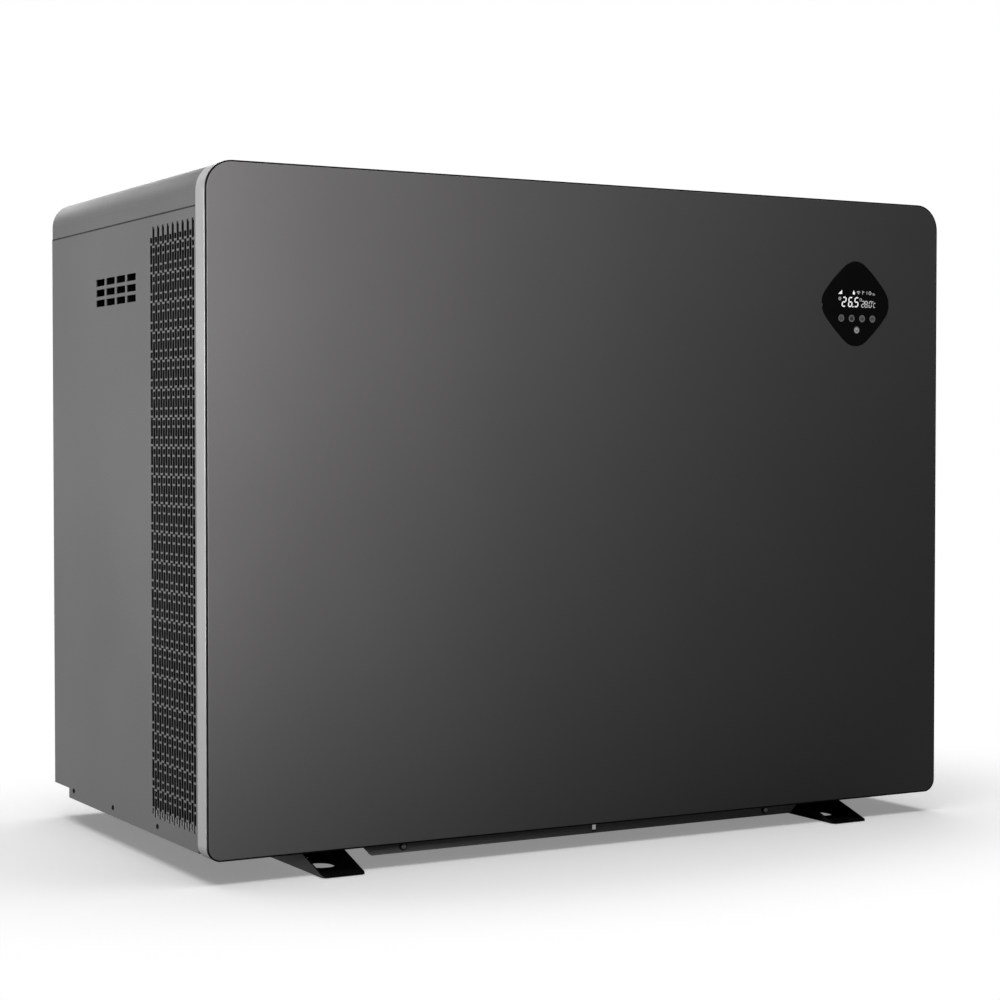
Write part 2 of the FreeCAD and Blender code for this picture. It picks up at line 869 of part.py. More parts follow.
# ------------------------------------------------------------------ rear panel and wire guard
rear_x0 = partition_x + 8
rear_screws_x = (rear_x0 + 8, skin_x - 10)
rear_outline = rectangle(rear_x0, skin_x - 3.3, pan_z + notch_height + 1.3, side_top_z)
rear_plate = prism("rear_panel_plate", "XZ", rear_y - 1.7, 1.2, rear_outline)
rear_holes = []
for i in range(9):
    z = 560 + i * 12
    for x in (rear_x0 + 60, rear_x0 + 180):
        rear_holes.append(box(x, x + 100, rear_y - 3, rear_y + 1, z, z + 4))
for z in REAR_SCREWS_Z:
    for x in rear_screws_x:
        rear_holes.append(cylinder(SCREW_HOLE, 6, x, rear_y - 4, z, "y"))
node("rear_panel", cut(rear_plate, *rear_holes))
node(
    "rear_screws",
    [
        pan_head(x, rear_y - 0.5, z, "y", **rear_screw)
        for z in REAR_SCREWS_Z
        for x in rear_screws_x
    ],
)

# wire guard over the coil
guard_x0, guard_x1, guard_z0, guard_z1 = -461.0, 116.0, 58.0, 686.0
guard_width, guard_height = guard_x1 - guard_x0, guard_z1 - guard_z0
wires = [
    plain_cylinder(1.3, guard_width, guard_x0, 243.2, guard_z0 + guard_height * i / 35, "x")
    for i in range(36)
]
uprights = [
    plain_cylinder(
        1.8, guard_height + 8, guard_x0 + 4 + (guard_width - 8) * i / 5, 245.6, guard_z0 - 4
    )
    for i in range(6)
]
node("rear_grille", uprights[0].multiFuse(uprights[1:] + wires))

# ------------------------------------------------------------------ air coil
TUBE_PITCH = 25.4
TUBE_COUNT = 24  # in each row
TUBE_WALL = 0.5
tube_radius = float(coil_tube_radius)
front_row_y, rear_row_y = float(coil_front) + 11, float(coil_front) + 33
tubes_z = [float(coil_bottom) + 32 + i * TUBE_PITCH for i in range(TUBE_COUNT)]


def coil_plate(x, y0, y1, z0, z1):
    """Upright face across the coil, holed for every tube."""
    wires = [wire_at(x, rectangle(y0, y1, z0, z1))]
    for y in (front_row_y, rear_row_y):
        wires += [circle_at(x, y, z, tube_radius + 0.02) for z in tubes_z]
    return face_with_holes(wires)


coil_rear = coil_front + coil_thickness
coil_top = coil_bottom + coil_height
fin_pack = doc.addObject("Part::Extrusion", "fin_pack")
fin_pack.Base = feature(coil_plate(coil_left, coil_front, coil_rear, coil_bottom, coil_top))
fin_pack.DirMode = "Custom"
fin_pack.Dir = Vector(1, 0, 0)
fin_pack.setExpression("LengthFwd", "Sizes.coil_right - Sizes.coil_left")
fin_pack.Solid = True
node("evaporator_fin_pack", fin_pack)
node(
    "evaporator_end_plates",
    [
        coil_plate(x, coil_front - 6, coil_rear + 1, coil_bottom - 14, coil_top + 1).extrude(
            Vector(1.5, 0, 0)
        )
        for x in (coil_left - 1.7, coil_right + 0.2)
    ],
)

tubes_left = float(coil_left) - 3
tubes_right = float(coil_right) + 6
OPEN_TUBES = (0, 11, 12, TUBE_COUNT - 1)  # joined to the headers


def coil_bend(turn_x, y, lower):
    """Tube from the right end out to turn_x and back, joining tubes lower and lower + 1."""
    z0, z1 = tubes_z[lower], tubes_z[lower + 1]
    path = [(tubes_right, y, z0), (turn_x, y, z0), (turn_x, y, z1), (tubes_right, y, z1)]
    return bent_tube(path, TUBE_PITCH / 2 - 0.01, tube_radius, TUBE_WALL)


hairpins = []
return_bends = []
for y in (front_row_y, rear_row_y):
    for i in range(0, TUBE_COUNT, 2):
        hairpins.append(coil_bend(tubes_left - TUBE_PITCH / 2, y, i))
    for i in range(1, TUBE_COUNT - 1, 2):
        if i not in OPEN_TUBES:
            return_bends.append(coil_bend(tubes_right + 14, y, i))
node("evaporator_hairpins", hairpins)
node("evaporator_return_bends", return_bends)

HEADER_X = 136.0
GAS_HEADER_RADIUS, GAS_TAP_Z = 9.5, 388.0
LIQUID_HEADER_RADIUS, LIQUID_TAP_Z = 7.0, 420.0


def header(label, y, radius, tap_radius, tap_z):
    """Hollow upright with stubs to the open tubes and a tap hole on its +X side."""
    bottom = tubes_z[0] - 14
    height = tubes_z[-1] + 14 - bottom
    stub = HEADER_X - tubes_right
    open_z = [tubes_z[i] for i in OPEN_TUBES]
    column = plain_cylinder(radius, height, HEADER_X, y, bottom)
    for z in open_z:
        column = column.fuse(plain_cylinder(tube_radius, stub, tubes_right, y, z, "x"))
    column = column.cut(plain_cylinder(radius - 1, height - 2, HEADER_X, y, bottom + 1))
    for z in open_z:
        bore = plain_cylinder(tube_radius - TUBE_WALL, stub, tubes_right - 1, y, z, "x")
        column = column.cut(bore)
    node(label, column.cut(plain_cylinder(tap_radius, 20, HEADER_X, y, tap_z, "x")))


header("evaporator_gas_header", rear_row_y, GAS_HEADER_RADIUS, 5.5, GAS_TAP_Z)
header("evaporator_liquid_header", front_row_y, LIQUID_HEADER_RADIUS, 3.6, LIQUID_TAP_Z)

# ------------------------------------------------------------------ fan
BLADE_COUNT = 5
SHAFT_RADIUS = 5.95
hub_y = deck_y + 8  # front face of the hub
# blade stations: radius, chord, pitch (degrees), lean (degrees), thickness
BLADE_STATIONS = (
    (44, 74, 34, 0, 4.2),
    (105, 108, 28, 5, 3.6),
    (165, 140, 22, 12, 3.0),
    (228, 160, 18, 22, 2.4),
)


def blade_section(radius, chord, pitch, lean, thickness):
    """Flat cambered section, pitched, then leaned round the fan axis (Y)."""
    count = 7
    pitch, lean = math.radians(pitch), math.radians(lean)
    surfaces = ([], [])
    for i in range(count):
        along = i / (count - 1) - 0.5
        camber = 0.06 * chord * (1 - 4 * along * along)
        half = thickness / 2 * (1 - 0.7 * abs(2 * along) ** 3)
        for surface, sign in zip(surfaces, (1, -1)):
            a = along * chord
            c = camber + sign * half
            tangent = a * math.cos(pitch) - c * math.sin(pitch)
            axial = a * math.sin(pitch) + c * math.cos(pitch)
            surface.append(
                Vector(
                    tangent * math.cos(lean) + radius * math.sin(lean),
                    axial,
                    radius * math.cos(lean) - tangent * math.sin(lean),
                )
            )
    points = surfaces[0] + surfaces[1][::-1]
    return Part.makePolygon(points + points[:1])


def fan_impeller():
    blade = Part.makeLoft([blade_section(*row) for row in BLADE_STATIONS], True, True)
    blade = blade.common(plain_cylinder(float(fan_radius) - 2, 200, 0, -100, 0, "y"))
    pitch_angle = 360 // BLADE_COUNT
    bore = (SHAFT_RADIUS + 0.02, 60, hub_y - 5)
    hub = cut(fan_disc(58, 44, hub_y), fan_disc(54, 42, hub_y + 6), fan_disc(*bore))
    boss = cut(fan_disc(14, 26, hub_y + 2), fan_disc(*bore))
    ribs = []
    blades = []
    for k in range(BLADE_COUNT):
        rib = box(-1.5, 1.5, 0, 30, 13, 55)
        turn = Rotation(Vector(0, 1, 0), pitch_angle * k + 20)
        moved = Placement(point(fan_x, hub_y + 5, fan_z), turn)
        rib.Placement = moved.multiply(rib.Placement)
        ribs.append(rib)
        copy = feature(blade.copy())
        turn = Rotation(Vector(0, 1, 0), pitch_angle * k)
        copy.Placement = Placement(point(fan_x, hub_y + 22, fan_z), turn)
        blades.append(copy)
    node("fan_impeller", fuse(hub, boss, *ribs, *blades))


fan_impeller()

# ------------------------------------------------------------------ fan motor
motor_y = hub_y + 56  # front face of the motor
BEARING_RADIUS = 13
CAVITY_RADIUS = 51
MOTOR_FLANGE = 62
node(
    "fan_motor_housing",
    cut(
        fuse(
            fan_disc(55, 62, motor_y),
            fan_disc(20, 6, motor_y - 6),
            fan_disc(MOTOR_FLANGE, 5, motor_y + 62),
        ),
        fan_disc(CAVITY_RADIUS, 55, motor_y + 4),
        fan_disc(BEARING_RADIUS, 70, motor_y - 4),
        fan_disc(7, 90, motor_y - 10),
        fan_disc(CAVITY_RADIUS, 8, motor_y + 59),
    ),
)
end_bell = fuse(
    fan_disc(MOTOR_FLANGE, 4, motor_y + 67), fan_disc(CAVITY_RADIUS - 0.1, 8, motor_y + 59.1)
)
node("fan_motor_end_bell", cut(end_bell, fan_disc(BEARING_RADIUS, 8, motor_y + 58)))
node(
    "fan_motor_stator",
    cut(fan_disc(CAVITY_RADIUS, 40, motor_y + 10), fan_disc(30, 44, motor_y + 8)),
)
node(
    "fan_motor_bearings",
    group(
        cut(fan_disc(BEARING_RADIUS, 8, motor_y - 4), fan_disc(6, 12, motor_y - 6)),
        cut(fan_disc(BEARING_RADIUS, 7, motor_y + 59), fan_disc(6, 12, motor_y + 57)),
    ),
)
# shaft with the rotor on it
node(
    "fan_motor_shaft",
    fuse(fan_disc(SHAFT_RADIUS, 133, hub_y - 12), fan_disc(29.2, 38, motor_y + 11)),
)
# hex nut on the shaft end
hexagon = [polar(11, 60 * i, fan_x, fan_z) for i in range(6)]
nut_blank = prism("fan_nut_body", "XZ", hub_y - 9, 9, hexagon)
node("fan_nut", cut(nut_blank, fan_disc(SHAFT_RADIUS, 30, hub_y - 15)))

# bracket: two channel posts joined by a plate behind the motor, a top bar and a foot bar
bracket_y = motor_y + 71
bracket_z0 = pan_floor_z + 0.3
bracket_top = seam_z - 4
bracket_x0, bracket_x1 = fan_x - 92, fan_x + 92
channels = []
for side in SIDES:
    x = fan_x + side * 78
    outer = box(x - 14, x + 14, bracket_y, bracket_y + 16, bracket_z0, bracket_top)
    inner = box(x - 12.5, x + 12.5, bracket_y + 1.5, bracket_y + 20, bracket_z0 - 1, seam_z)
    channels.append(cut(outer, inner))
motor_plate = cut(
    box(bracket_x0, bracket_x1, bracket_y, bracket_y + 1.5, fan_z - 66, fan_z + 66),
    fan_disc(24, 12, bracket_y - 5),
)
top_bar = box(bracket_x0, bracket_x1, bracket_y, bracket_y + 1.5, seam_z - 24, bracket_top)
foot_bar = box(bracket_x0, bracket_x1, bracket_y, bracket_y + 18, bracket_z0, bracket_z0 + 1.5)
node("fan_motor_bracket", fuse(*channels, motor_plate, top_bar, foot_bar))


# ------------------------------------------------------------------ compressor
def comp_disc(radius, length, z, shift=0):
    """Upright cylinder on the compressor axis, or shifted from it along X."""
    return cylinder(radius, length, comp_x + shift, comp_y, z)


can_bore = comp_radius - 3.5
fit_radius = comp_radius - 3.55  # pieces that sit inside the can
DISCHARGE_SHIFT = 30
ECCENTRIC_SHIFT, ECCENTRIC_Z, ECCENTRIC_HEIGHT = 4.2, 101.5, 17
foot_centres = [polar(88, 30 + 120 * i, comp_x, comp_y) for i in range(3)]

# hollow can: outside from the bottom up, then inside back down
can = revolved(
    "compressor_can",
    [
        (0, 46),
        (comp_radius - 14, 46),
        (comp_radius, 58),
        (comp_radius, 288),
        (comp_radius - 12, 302),
        (comp_radius - 40, 309),
        (0, 310),
        (0, 306.5),
        (comp_radius - 41, 305.5),
        (comp_radius - 14, 299),
        (can_bore, 286.5),
        (can_bore, 60),
        (comp_radius - 15.5, 49.5),
        (0, 49.5),
    ],
    comp_x,
    comp_y,
)
foot_plate = doc.addObject("Part::Prism", "compressor_foot")
foot_plate.Polygon = 3
foot_plate.Circumradius = 118
foot_plate.Height = 3.5
at(foot_plate, comp_x, comp_y, 44.5, Rotation(Vector(0, 0, 1), 30))
foot_plate = common(foot_plate, comp_disc(100, 20, 40))
node(
    "compressor_shell",
    cut(
        fuse(
            can,
            cut(foot_plate, comp_disc(can_bore, 20, 40)),
            comp_disc(8.5, 8, 302, DISCHARGE_SHIFT),
        ),
        *[cylinder(9.05, 10, *centre, 40) for centre in foot_centres],
        comp_disc(5.5, 30, 290, DISCHARGE_SHIFT),
        cylinder(8.05, 30, comp_x - 66, comp_y, 86, "x"),
    ),
)


def grommet(centre):
    """Necked bush through the foot plate."""
    neck = cylinder(9, 12, *centre, 40)
    lower = cylinder(14, 44.5 - 30.6, *centre, 30.6)
    upper = cylinder(14, 5, *centre, 48)
    return cut(fuse(neck, lower, upper), cylinder(4.6, 40, *centre, 25))


def stud(centre):
    """Stud with washer and nut."""
    rod = plain_cylinder(4.5, 32, *centre, 30.5)
    washer = plain_cylinder(12, 1.6, *centre, 53.1)
    return rod.fuse(washer).fuse(plain_cylinder(6.8, 6, *centre, 54.7))


node("compressor_grommets", group(*[grommet(centre) for centre in foot_centres]))
node("compressor_studs", [stud(centre) for centre in foot_centres])
node("compressor_stator", cut(comp_disc(fit_radius, 62, 188), comp_disc(32.8, 70, 184)))
# shaft, rotor and eccentric
node(
    "compressor_crankshaft",
    fuse(
        comp_disc(7.95, 190, 72),
        comp_disc(31.9, 60, 189),
        comp_disc(14, ECCENTRIC_HEIGHT, ECCENTRIC_Z, ECCENTRIC_SHIFT),
    ),
)
node(
    "compressor_pump_block",
    cut(comp_disc(fit_radius, 62, 78), comp_disc(8, 80, 70), comp_disc(24, 18, 101)),
)
# rolling piston ring on the eccentric
node(
    "compressor_roller",
    cut(
        comp_disc(19.6, ECCENTRIC_HEIGHT, ECCENTRIC_Z, ECCENTRIC_SHIFT),
        comp_disc(14.0, 30, 95, ECCENTRIC_SHIFT),
    ),
)

# hollow accumulator with an open neck, strapped to the can
accum_x, accum_y = comp_x - 92, comp_y + 22
ACCUMULATOR = [  # radius, z
    (0, 96), (14, 98), (22, 108), (22, 262), (14, 273), (6.35, 276), (6.35, 294),
    (5.35, 294), (5.35, 275), (13, 271.6), (20.8, 261.5), (20.8, 108.5), (13.5, 99.4), (0, 97.5),
]
node("suction_accumulator", revolved("suction_accumulator", ACCUMULATOR, accum_x, accum_y))
strap = fuse(
    cylinder(23.6, 14, accum_x, accum_y, 200),
    box(accum_x + 8, comp_x - 58, accum_y - 14, accum_y - 4, 200, 214),
)
strap_bore = cylinder(22.02, 20, accum_x, accum_y, 195)
node("accumulator_strap", cut(strap, strap_bore, comp_disc(comp_radius + 0.02, 20, 195)))


# ------------------------------------------------------------------ water heat exchanger
def exch_disc(radius, length, z, shift=0):
    """Upright cylinder on the exchanger axis, or shifted from it along X."""
    return cylinder(radius, length, exch_x + shift, exch_y, z)


BARREL_Z0, BARREL_Z1 = 62.0, 512.0
BASE_Z = 36
FLOW_Z = 430.0  # flow switch
LEAD_SHIFT = 38
cap_bore = exch_radius + 0.03
cap_radius = exch_radius + 5
barrel = revolved(
    "exchanger_barrel",
    rectangle(exch_radius - 5, exch_radius, BARREL_Z0, BARREL_Z1),
    exch_x,
    exch_y,
)
port_bosses = [cylinder(31, 38, exch_x + 48, exch_y, z, "x") for z in PORTS_Z]
switch_boss = cylinder(17, 26, exch_x, exch_y - 50, FLOW_Z, "-y")
node(
    "heat_exchanger_shell",
    cut(
        fuse(barrel, *port_bosses, switch_boss),
        exch_disc(exch_radius - 5, BARREL_Z1 - BARREL_Z0 + 4, BARREL_Z0 - 2),
        *[cylinder(25.03, 60, exch_x + 40, exch_y, z, "x") for z in PORTS_Z],
        cylinder(12.03, 50, exch_x, exch_y - 40, FLOW_Z, "-y"),
    ),
)
base_cap = [  # radius, z
    (0, BASE_Z),
    (exch_radius - 16, BASE_Z),
    (cap_radius, 40),
    (cap_radius, 84),
    (cap_bore, 84),
    (cap_bore, BARREL_Z0 - 0.5),
    (0, BARREL_Z0 - 0.5),
]
node("heat_exchanger_base_cap", revolved("heat_exchanger_base_cap", base_cap, exch_x, exch_y))
top_cap = [  # radius, z
    (0, BARREL_Z1 + 0.5),
    (cap_bore, BARREL_Z1 + 0.5),
    (cap_bore, BARREL_Z1 - 22),
    (cap_radius, BARREL_Z1 - 22),
    (cap_radius, BARREL_Z1 + 16),
    (exch_radius - 20, BARREL_Z1 + 22),
    (0, BARREL_Z1 + 22),
]
node(
    "heat_exchanger_top_cap",
    cut(
        revolved("heat_exchanger_top_cap_body", top_cap, exch_x, exch_y),
        *[exch_disc(6.4, 60, BARREL_Z1 - 20, side * LEAD_SHIFT) for side in SIDES],
    ),
)
STAND_Z = 30.55
node(
    "exchanger_stand",
    group(
        *[
            cylinder(13, BASE_Z - STAND_Z, *polar(40, angle, exch_x, exch_y), STAND_Z)
            for angle in (75, 195, 315)
        ]
    ),
)

# titanium coil: helix wound round the inner core
helix_radius, helix_turns, helix_pitch, helix_z = 48.0, 15, 18.0, 84.0
helix = Part.makeHelix(helix_pitch, helix_pitch * helix_turns, helix_radius)
helix.Placement = Placement(point(exch_x, exch_y, helix_z), Rotation())
helix_start = point(exch_x + helix_radius, exch_y, helix_z)
helix_profile = Part.Wire([Part.makeCircle(6.3, helix_start, Vector(0, 1, 0.06))])
node("titanium_coil", Part.Wire(helix.Edges).makePipeShell([helix_profile], True, True))
# straight leads out through the top cap
node(
    "titanium_leads",
    group(
        *[
            cut(exch_disc(6.35, 541 - 372, 372, shift), exch_disc(5.3, 200, 368, shift))
            for shift in (LEAD_SHIFT, -LEAD_SHIFT)
        ]
    ),
)
node(
    "heat_exchanger_core",
    cut(exch_disc(28, 300, BARREL_Z0 + 4), exch_disc(26, 320, BARREL_Z0 + 2)),
)

# ------------------------------------------------------------------ water unions
UNION_X = 510.0  # joint face between stub and tailpiece


def water_union(label, port_z):
    def disc(radius, length, x):
        return cylinder(radius, length, x, water_y, port_z, "x")

    stub_x = exch_x + 62
    stub = fuse(disc(25, UNION_X - stub_x, stub_x), disc(32.93, 24, UNION_X - 24))
    ring_groove = cut(disc(29.6, 4, UNION_X - 3.8), disc(25.4, 8, UNION_X - 5))
    node(label + "_stub", cut(stub, disc(pipe_bore, 120, exch_x + 55), ring_groove))
    node(
        label + "_tailpiece",
        cut(
            fuse(disc(31.6, 6, UNION_X), disc(29.5, 52, UNION_X)),
            disc(pipe_bore, 80, UNION_X - 5),
            disc(socket_radius, 60, UNION_X + 8),
        ),
    )
    grips = [
        cylinder(5, 28, UNION_X - 18, *polar(38.5, 36 * k, water_y, port_z), "x")
        for k in range(10)
    ]
    node(
        label + "_nut",
        cut(
            fuse(disc(39, 34, UNION_X - 21), disc(40.5, 5, UNION_X - 21), *grips),
            disc(33, 28.1, UNION_X - 22),
            disc(29.57, 60, UNION_X - 22),
        ),
    )


water_union("water_inlet", inlet_z)
water_union("water_outlet", outlet_z)
ring_size = {"Radius1": 27.5, "Radius2": 1.9}
o_rings = [primitive("Torus", ring_size, UNION_X - 1.9, water_y, z, "x") for z in PORTS_Z]
node("union_o_rings", group(*o_rings))

# flow switch: body screwed into the shell, paddle on a pin inside
switch_y = exch_y - 76
pin_y = switch_y + 34
switch_parts = [
    cylinder(12, 30, exch_x, switch_y, FLOW_Z, "y"),
    cylinder(17, 3, exch_x, switch_y - 3, FLOW_Z, "y"),
    box(exch_x - 20, exch_x + 20, switch_y - 31, switch_y - 3, FLOW_Z - 16, FLOW_Z + 16),
]
for side in SIDES:
    ear = span(side, 3.2, 5.5, exch_x)
    switch_parts.append(box(*ear, switch_y + 28, switch_y + 38, FLOW_Z - 4, FLOW_Z + 4))
pin_hole = cylinder(1.54, 30, exch_x - 15, pin_y, FLOW_Z, "x")
node("flow_switch_body", cut(fuse(*switch_parts), pin_hole))
paddle_z = (FLOW_Z - 0.7, FLOW_Z + 0.7)
node(
    "flow_switch_paddle",
    fuse(
        cylinder(1.5, 12, exch_x - 6, pin_y, FLOW_Z, "x"),
        cylinder(2.6, 5.6, exch_x - 2.8, pin_y, FLOW_Z, "x"),
        box(exch_x - 2.2, exch_x + 2.2, switch_y + 35, switch_y + 58, *paddle_z),
        box(exch_x - 11, exch_x + 11, switch_y + 56, switch_y + 82, *paddle_z),
    ),
)

# ------------------------------------------------------------------ reversing valve
valve_x, valve_y, valve_z = 240.0, -25.0, 430.0
VALVE_LENGTH = 120.0
VALVE_PORTS = (-24, 0, 24)  # along X
valve_bore = VALVE_LENGTH - 6
bore_x0 = valve_x - valve_bore / 2


def valve_disc(radius, length, x):
    return cylinder(radius, length, x, valve_y, valve_z, "x")


def valve_ports(radius, length, start):
    """Three stubs down and one up, each starting at that distance from the axis."""
    down = [
        cylinder(radius, length, valve_x + dx, valve_y, valve_z - start, "-z")
        for dx in VALVE_PORTS
    ]
    return down + [cylinder(radius, length, valve_x, valve_y, valve_z + start)]


pilot = box(valve_x - 22, valve_x + 22, valve_y - 30, valve_y - 12, valve_z - 14, valve_z + 14)
node(
    "reversing_valve_body",
    cut(
        fuse(
            valve_disc(14, VALVE_LENGTH, valve_x - VALVE_LENGTH / 2),
            *valve_ports(6.3, 16, 10),
            pilot,
        ),
        valve_disc(12, valve_bore, bore_x0),
        *valve_ports(5.3, 20, 8),
    ),
)
# spool: two pistons on a rod, with a hollowed slide below the axis
slide = common(
    valve_disc(11.95, 44, bore_x0 + 20),
    box(bore_x0 + 15, bore_x0 + 70, valve_y - 9, valve_y + 9, valve_z - 12, valve_z - 2),
)
slide_hollow = box(
    bore_x0 + 26, bore_x0 + 58, valve_y - 5, valve_y + 5, valve_z - 13, valve_z - 6
)
node(
    "reversing_valve_spool",
    fuse(
        valve_disc(11.95, 8, bore_x0 + 1),
        valve_disc(11.95, 8, bore_x0 + valve_bore - 25),
        valve_disc(3, valve_bore - 20, bore_x0 + 3),
        cut(slide, slide_hollow),
    ),
)

# ------------------------------------------------------------------ expansion valve
expan_x, expan_y, expan_z = 190.0, 150.0, 440.0
side_port_z = expan_z + 12


def expan_disc(radius, length, rise):
    """Upright cylinder on the valve axis, from that height above the valve base."""
    return cylinder(radius, length, expan_x, expan_y, expan_z + rise)


node(
    "expansion_valve_body",
    cut(
        fuse(
            expan_disc(11, 26, 0),
            expan_disc(13, 40, 26),
            cylinder(4.8, 18, expan_x, expan_y + 8, side_port_z, "y"),
            expan_disc(4.8, 10, -8),
        ),
        expan_disc(10, 36, 28),
        expan_disc(2.55, 40, 8),
        expan_disc(6, 14, 4),
        cylinder(3.8, 30, expan_x, expan_y, side_port_z, "y"),
        expan_disc(2.0, 20, -10),
        expan_disc(3.8, 8, -9),
    ),
)
node("expansion_valve_stator", cut(expan_disc(21, 24, 32), expan_disc(13.02, 30, 30)))
node("expansion_valve_rotor", cut(expan_disc(9.4, 22, 34), expan_disc(2.55, 30, 30)))
needle_size = {"Radius1": 1.2, "Radius2": 2.5, "Height": 4}
needle_tip = primitive("Cone", needle_size, expan_x, expan_y, expan_z + 6)
node("expansion_valve_needle", fuse(expan_disc(2.5, 48, 10), needle_tip))

# ------------------------------------------------------------------ copper lines
GAS_TUBE = (5.2, 0.9)  # radius, wall
discharge_x = comp_x + DISCHARGE_SHIFT
lead_left, lead_right = exch_x - LEAD_SHIFT, exch_x + LEAD_SHIFT
LINES = {  # label: (points, bend radius, tube radius, wall)
    "discharge_line": (
        [
            (discharge_x, comp_y, 291),
            (discharge_x, comp_y, 478),
            (valve_x, valve_y, 478),
            (valve_x, valve_y, 440.5),
        ],
        14,
        *GAS_TUBE,
    ),
    "suction_line": (
        [
            (valve_x, valve_y, 416),
            (valve_x, valve_y, 366),
            (accum_x, valve_y, 366),
            (accum_x, accum_y, 366),
            (accum_x, accum_y, 277),
        ],
        15,
        *GAS_TUBE,
    ),
    "evaporator_gas_line": (
        [
            (valve_x - 24, valve_y, 416),
            (valve_x - 24, valve_y, GAS_TAP_Z),
            (186, valve_y, GAS_TAP_Z),
            (186, rear_row_y, GAS_TAP_Z),
            (HEADER_X + GAS_HEADER_RADIUS - 0.8, rear_row_y, GAS_TAP_Z),
        ],
        11,
        *GAS_TUBE,
    ),
    "exchanger_gas_line": (
        [
            (valve_x + 24, valve_y, 416),
            (valve_x + 24, valve_y, 388),
            (lead_left, valve_y, 388),
            (lead_left, valve_y, 568),
            (lead_left, exch_y, 568),
            (lead_left, exch_y, 530),
        ],
        14,
        *GAS_TUBE,
    ),
    "liquid_line": (
        [
            (lead_right, exch_y, 530),
            (lead_right, exch_y, 566),
            (lead_right, 226, 566),
            (expan_x, 226, 566),
            (expan_x, 226, side_port_z),
            (expan_x, expan_y + 18, side_port_z),
        ],
        13,
        3.7,
        0.7,
    ),
    "distributor_line": (
        [
            (expan_x, expan_y, expan_z - 1),
            (expan_x, expan_y, LIQUID_TAP_Z),
            (expan_x, front_row_y, LIQUID_TAP_Z),
            (HEADER_X + LIQUID_HEADER_RADIUS - 0.8, front_row_y, LIQUID_TAP_Z),
        ],
        11,
        3.55,
        0.7,
    ),
}
for label, line in LINES.items():
    node(label, bent_tube(*line))

# ------------------------------------------------------------------ controller
glass = control_diamond(0, front_y - 0.2, front_y + 2.6)
node("controller_glass", rounded(glass, in_front_of(front_y - 0.19), 0.5))
bezel = control_diamond(4, front_y + 3.0, front_y + 4.6)
cup = control_diamond(-2.5, front_y + 2.6, front_y + 22)
cup_hollow = control_diamond(-4.5, front_y + 2.0, front_y + 20)
node("controller_housing", cut(fuse(bezel, cup), cup_hollow))


def control_block(half_width, y0, y1, z0, z1):
    """Block about the controller centre; y from the front face, z from the centre."""
    x0, x1 = control_x - half_width, control_x + half_width
    return box(x0, x1, front_y + y0, front_y + y1, control_z + z0, control_z + z1)


# board with a block on its front and a smaller one on its back
node(
    "controller_board",
    fuse(
        control_block(26, 10, 11.6, -26, 26),
        control_block(20, 3, 10, -16, 14),
        control_block(9, 11.6, 18, -22, -10),
    ),
)

# ------------------------------------------------------------------ control box
tray_x0, tray_x1, tray_y0, tray_y1 = 152.0, 452.0, -58.0, 226.0
tray_z = 583.0


def tray_box(x0, x1, y0, y1, z0, z1):
    """Box measured from the tray's lower front left corner."""
    return box(
        tray_x0 + x0, tray_x0 + x1, tray_y0 + y0, tray_y0 + y1, tray_z + z0, tray_z + z1
    )


def tray_shell(gap, z0, z1):
    """Block over the tray's plan, grown by gap on all four sides."""
    width, depth = tray_x1 - tray_x0, tray_y1 - tray_y0
    return tray_box(-gap, width + gap, -gap, depth + gap, z0, z1)


node(
    "control_box",
    cut(
        tray_shell(0, 0, 96),
        tray_shell(-1.2, 1.2, 100),
        tray_box(40, 160, 60, 190, -2, 4),
        cylinder(9, 12, tray_x1 - 6, 200, tray_z + 22, "x"),
    ),
)
node("control_box_lid", cut(tray_shell(1.4, 84, 97.4), tray_shell(0.1, 80, 96.05)))

BOARD_TOP = 16.6
can_parts = [
    cylinder(14, 38, tray_x0 + 200 + 34 * i, tray_y0 + y, tray_z + BOARD_TOP)
    for y in (60, 98)
    for i in range(2)
]
standoffs = [
    cylinder(3.4, 15 - 1.2, tray_x0 + x, tray_y0 + y, tray_z + 1.2)
    for x in (26, 274)
    for y in (26, 258)
]
node(
    "inverter_board",
    fuse(
        tray_shell(-20, 15, BOARD_TOP),
        *can_parts,
        tray_box(60, 110, 80, 120, BOARD_TOP, 42),
        tray_box(50, 90, 150, 190, BOARD_TOP, 36),
        tray_box(190, 266, 210, 226, BOARD_TOP, 34),
        *standoffs,
    ),
)
fins = [tray_box(46 + 8.5 * i, 48.5 + 8.5 * i, 64, 186, -24, -4.5) for i in range(13)]
node(
    "inverter_heat_sink",
    fuse(
        tray_box(36, 164, 56, 194, -5, -0.05),
        tray_box(42, 158, 62, 188, -0.1, 14.9),
        *fins,
    ),
)

# box hangers on the partition and the deck
hanger_x, hanger_y = partition_x + 1.25, deck_y + 1.55
shelf_z = (tray_z - 1.6, tray_z - 0.05)
drop_z = (tray_z - 30, tray_z - 0.1)
node(
    "control_box_brackets",
    group(
        fuse(
            box(hanger_x, tray_x0, 20, 60, *shelf_z),
            box(hanger_x, partition_x + 2.75, 20, 60, *drop_z),
            box(tray_x0 - 0.1, tray_x0 + 30, 20, 60, *shelf_z),
        ),
        fuse(
            box(tray_x0 + 170, tray_x0 + 210, hanger_y, tray_y0 + 30, *shelf_z),
            box(tray_x0 + 170, tray_x0 + 210, hanger_y, deck_y + 3, *drop_z),
        ),
    ),
)


# ------------------------------------------------------------------ fittings on the right panel
def cable_gland(gland_z):
    def disc(radius, length, offset):
        return cylinder(radius, length, skin_x + offset, GLAND_Y, gland_z, "x")

    solid = fuse(disc(8.1, 24, -14), disc(11.5, 6, 0), disc(10.2, 9, 6), disc(11.5, 5, -6.3))
    return cut(solid, disc(5.5, 60, -20))


node("cable_glands", group(*[cable_gland(z) for z in GLANDS_Z]))


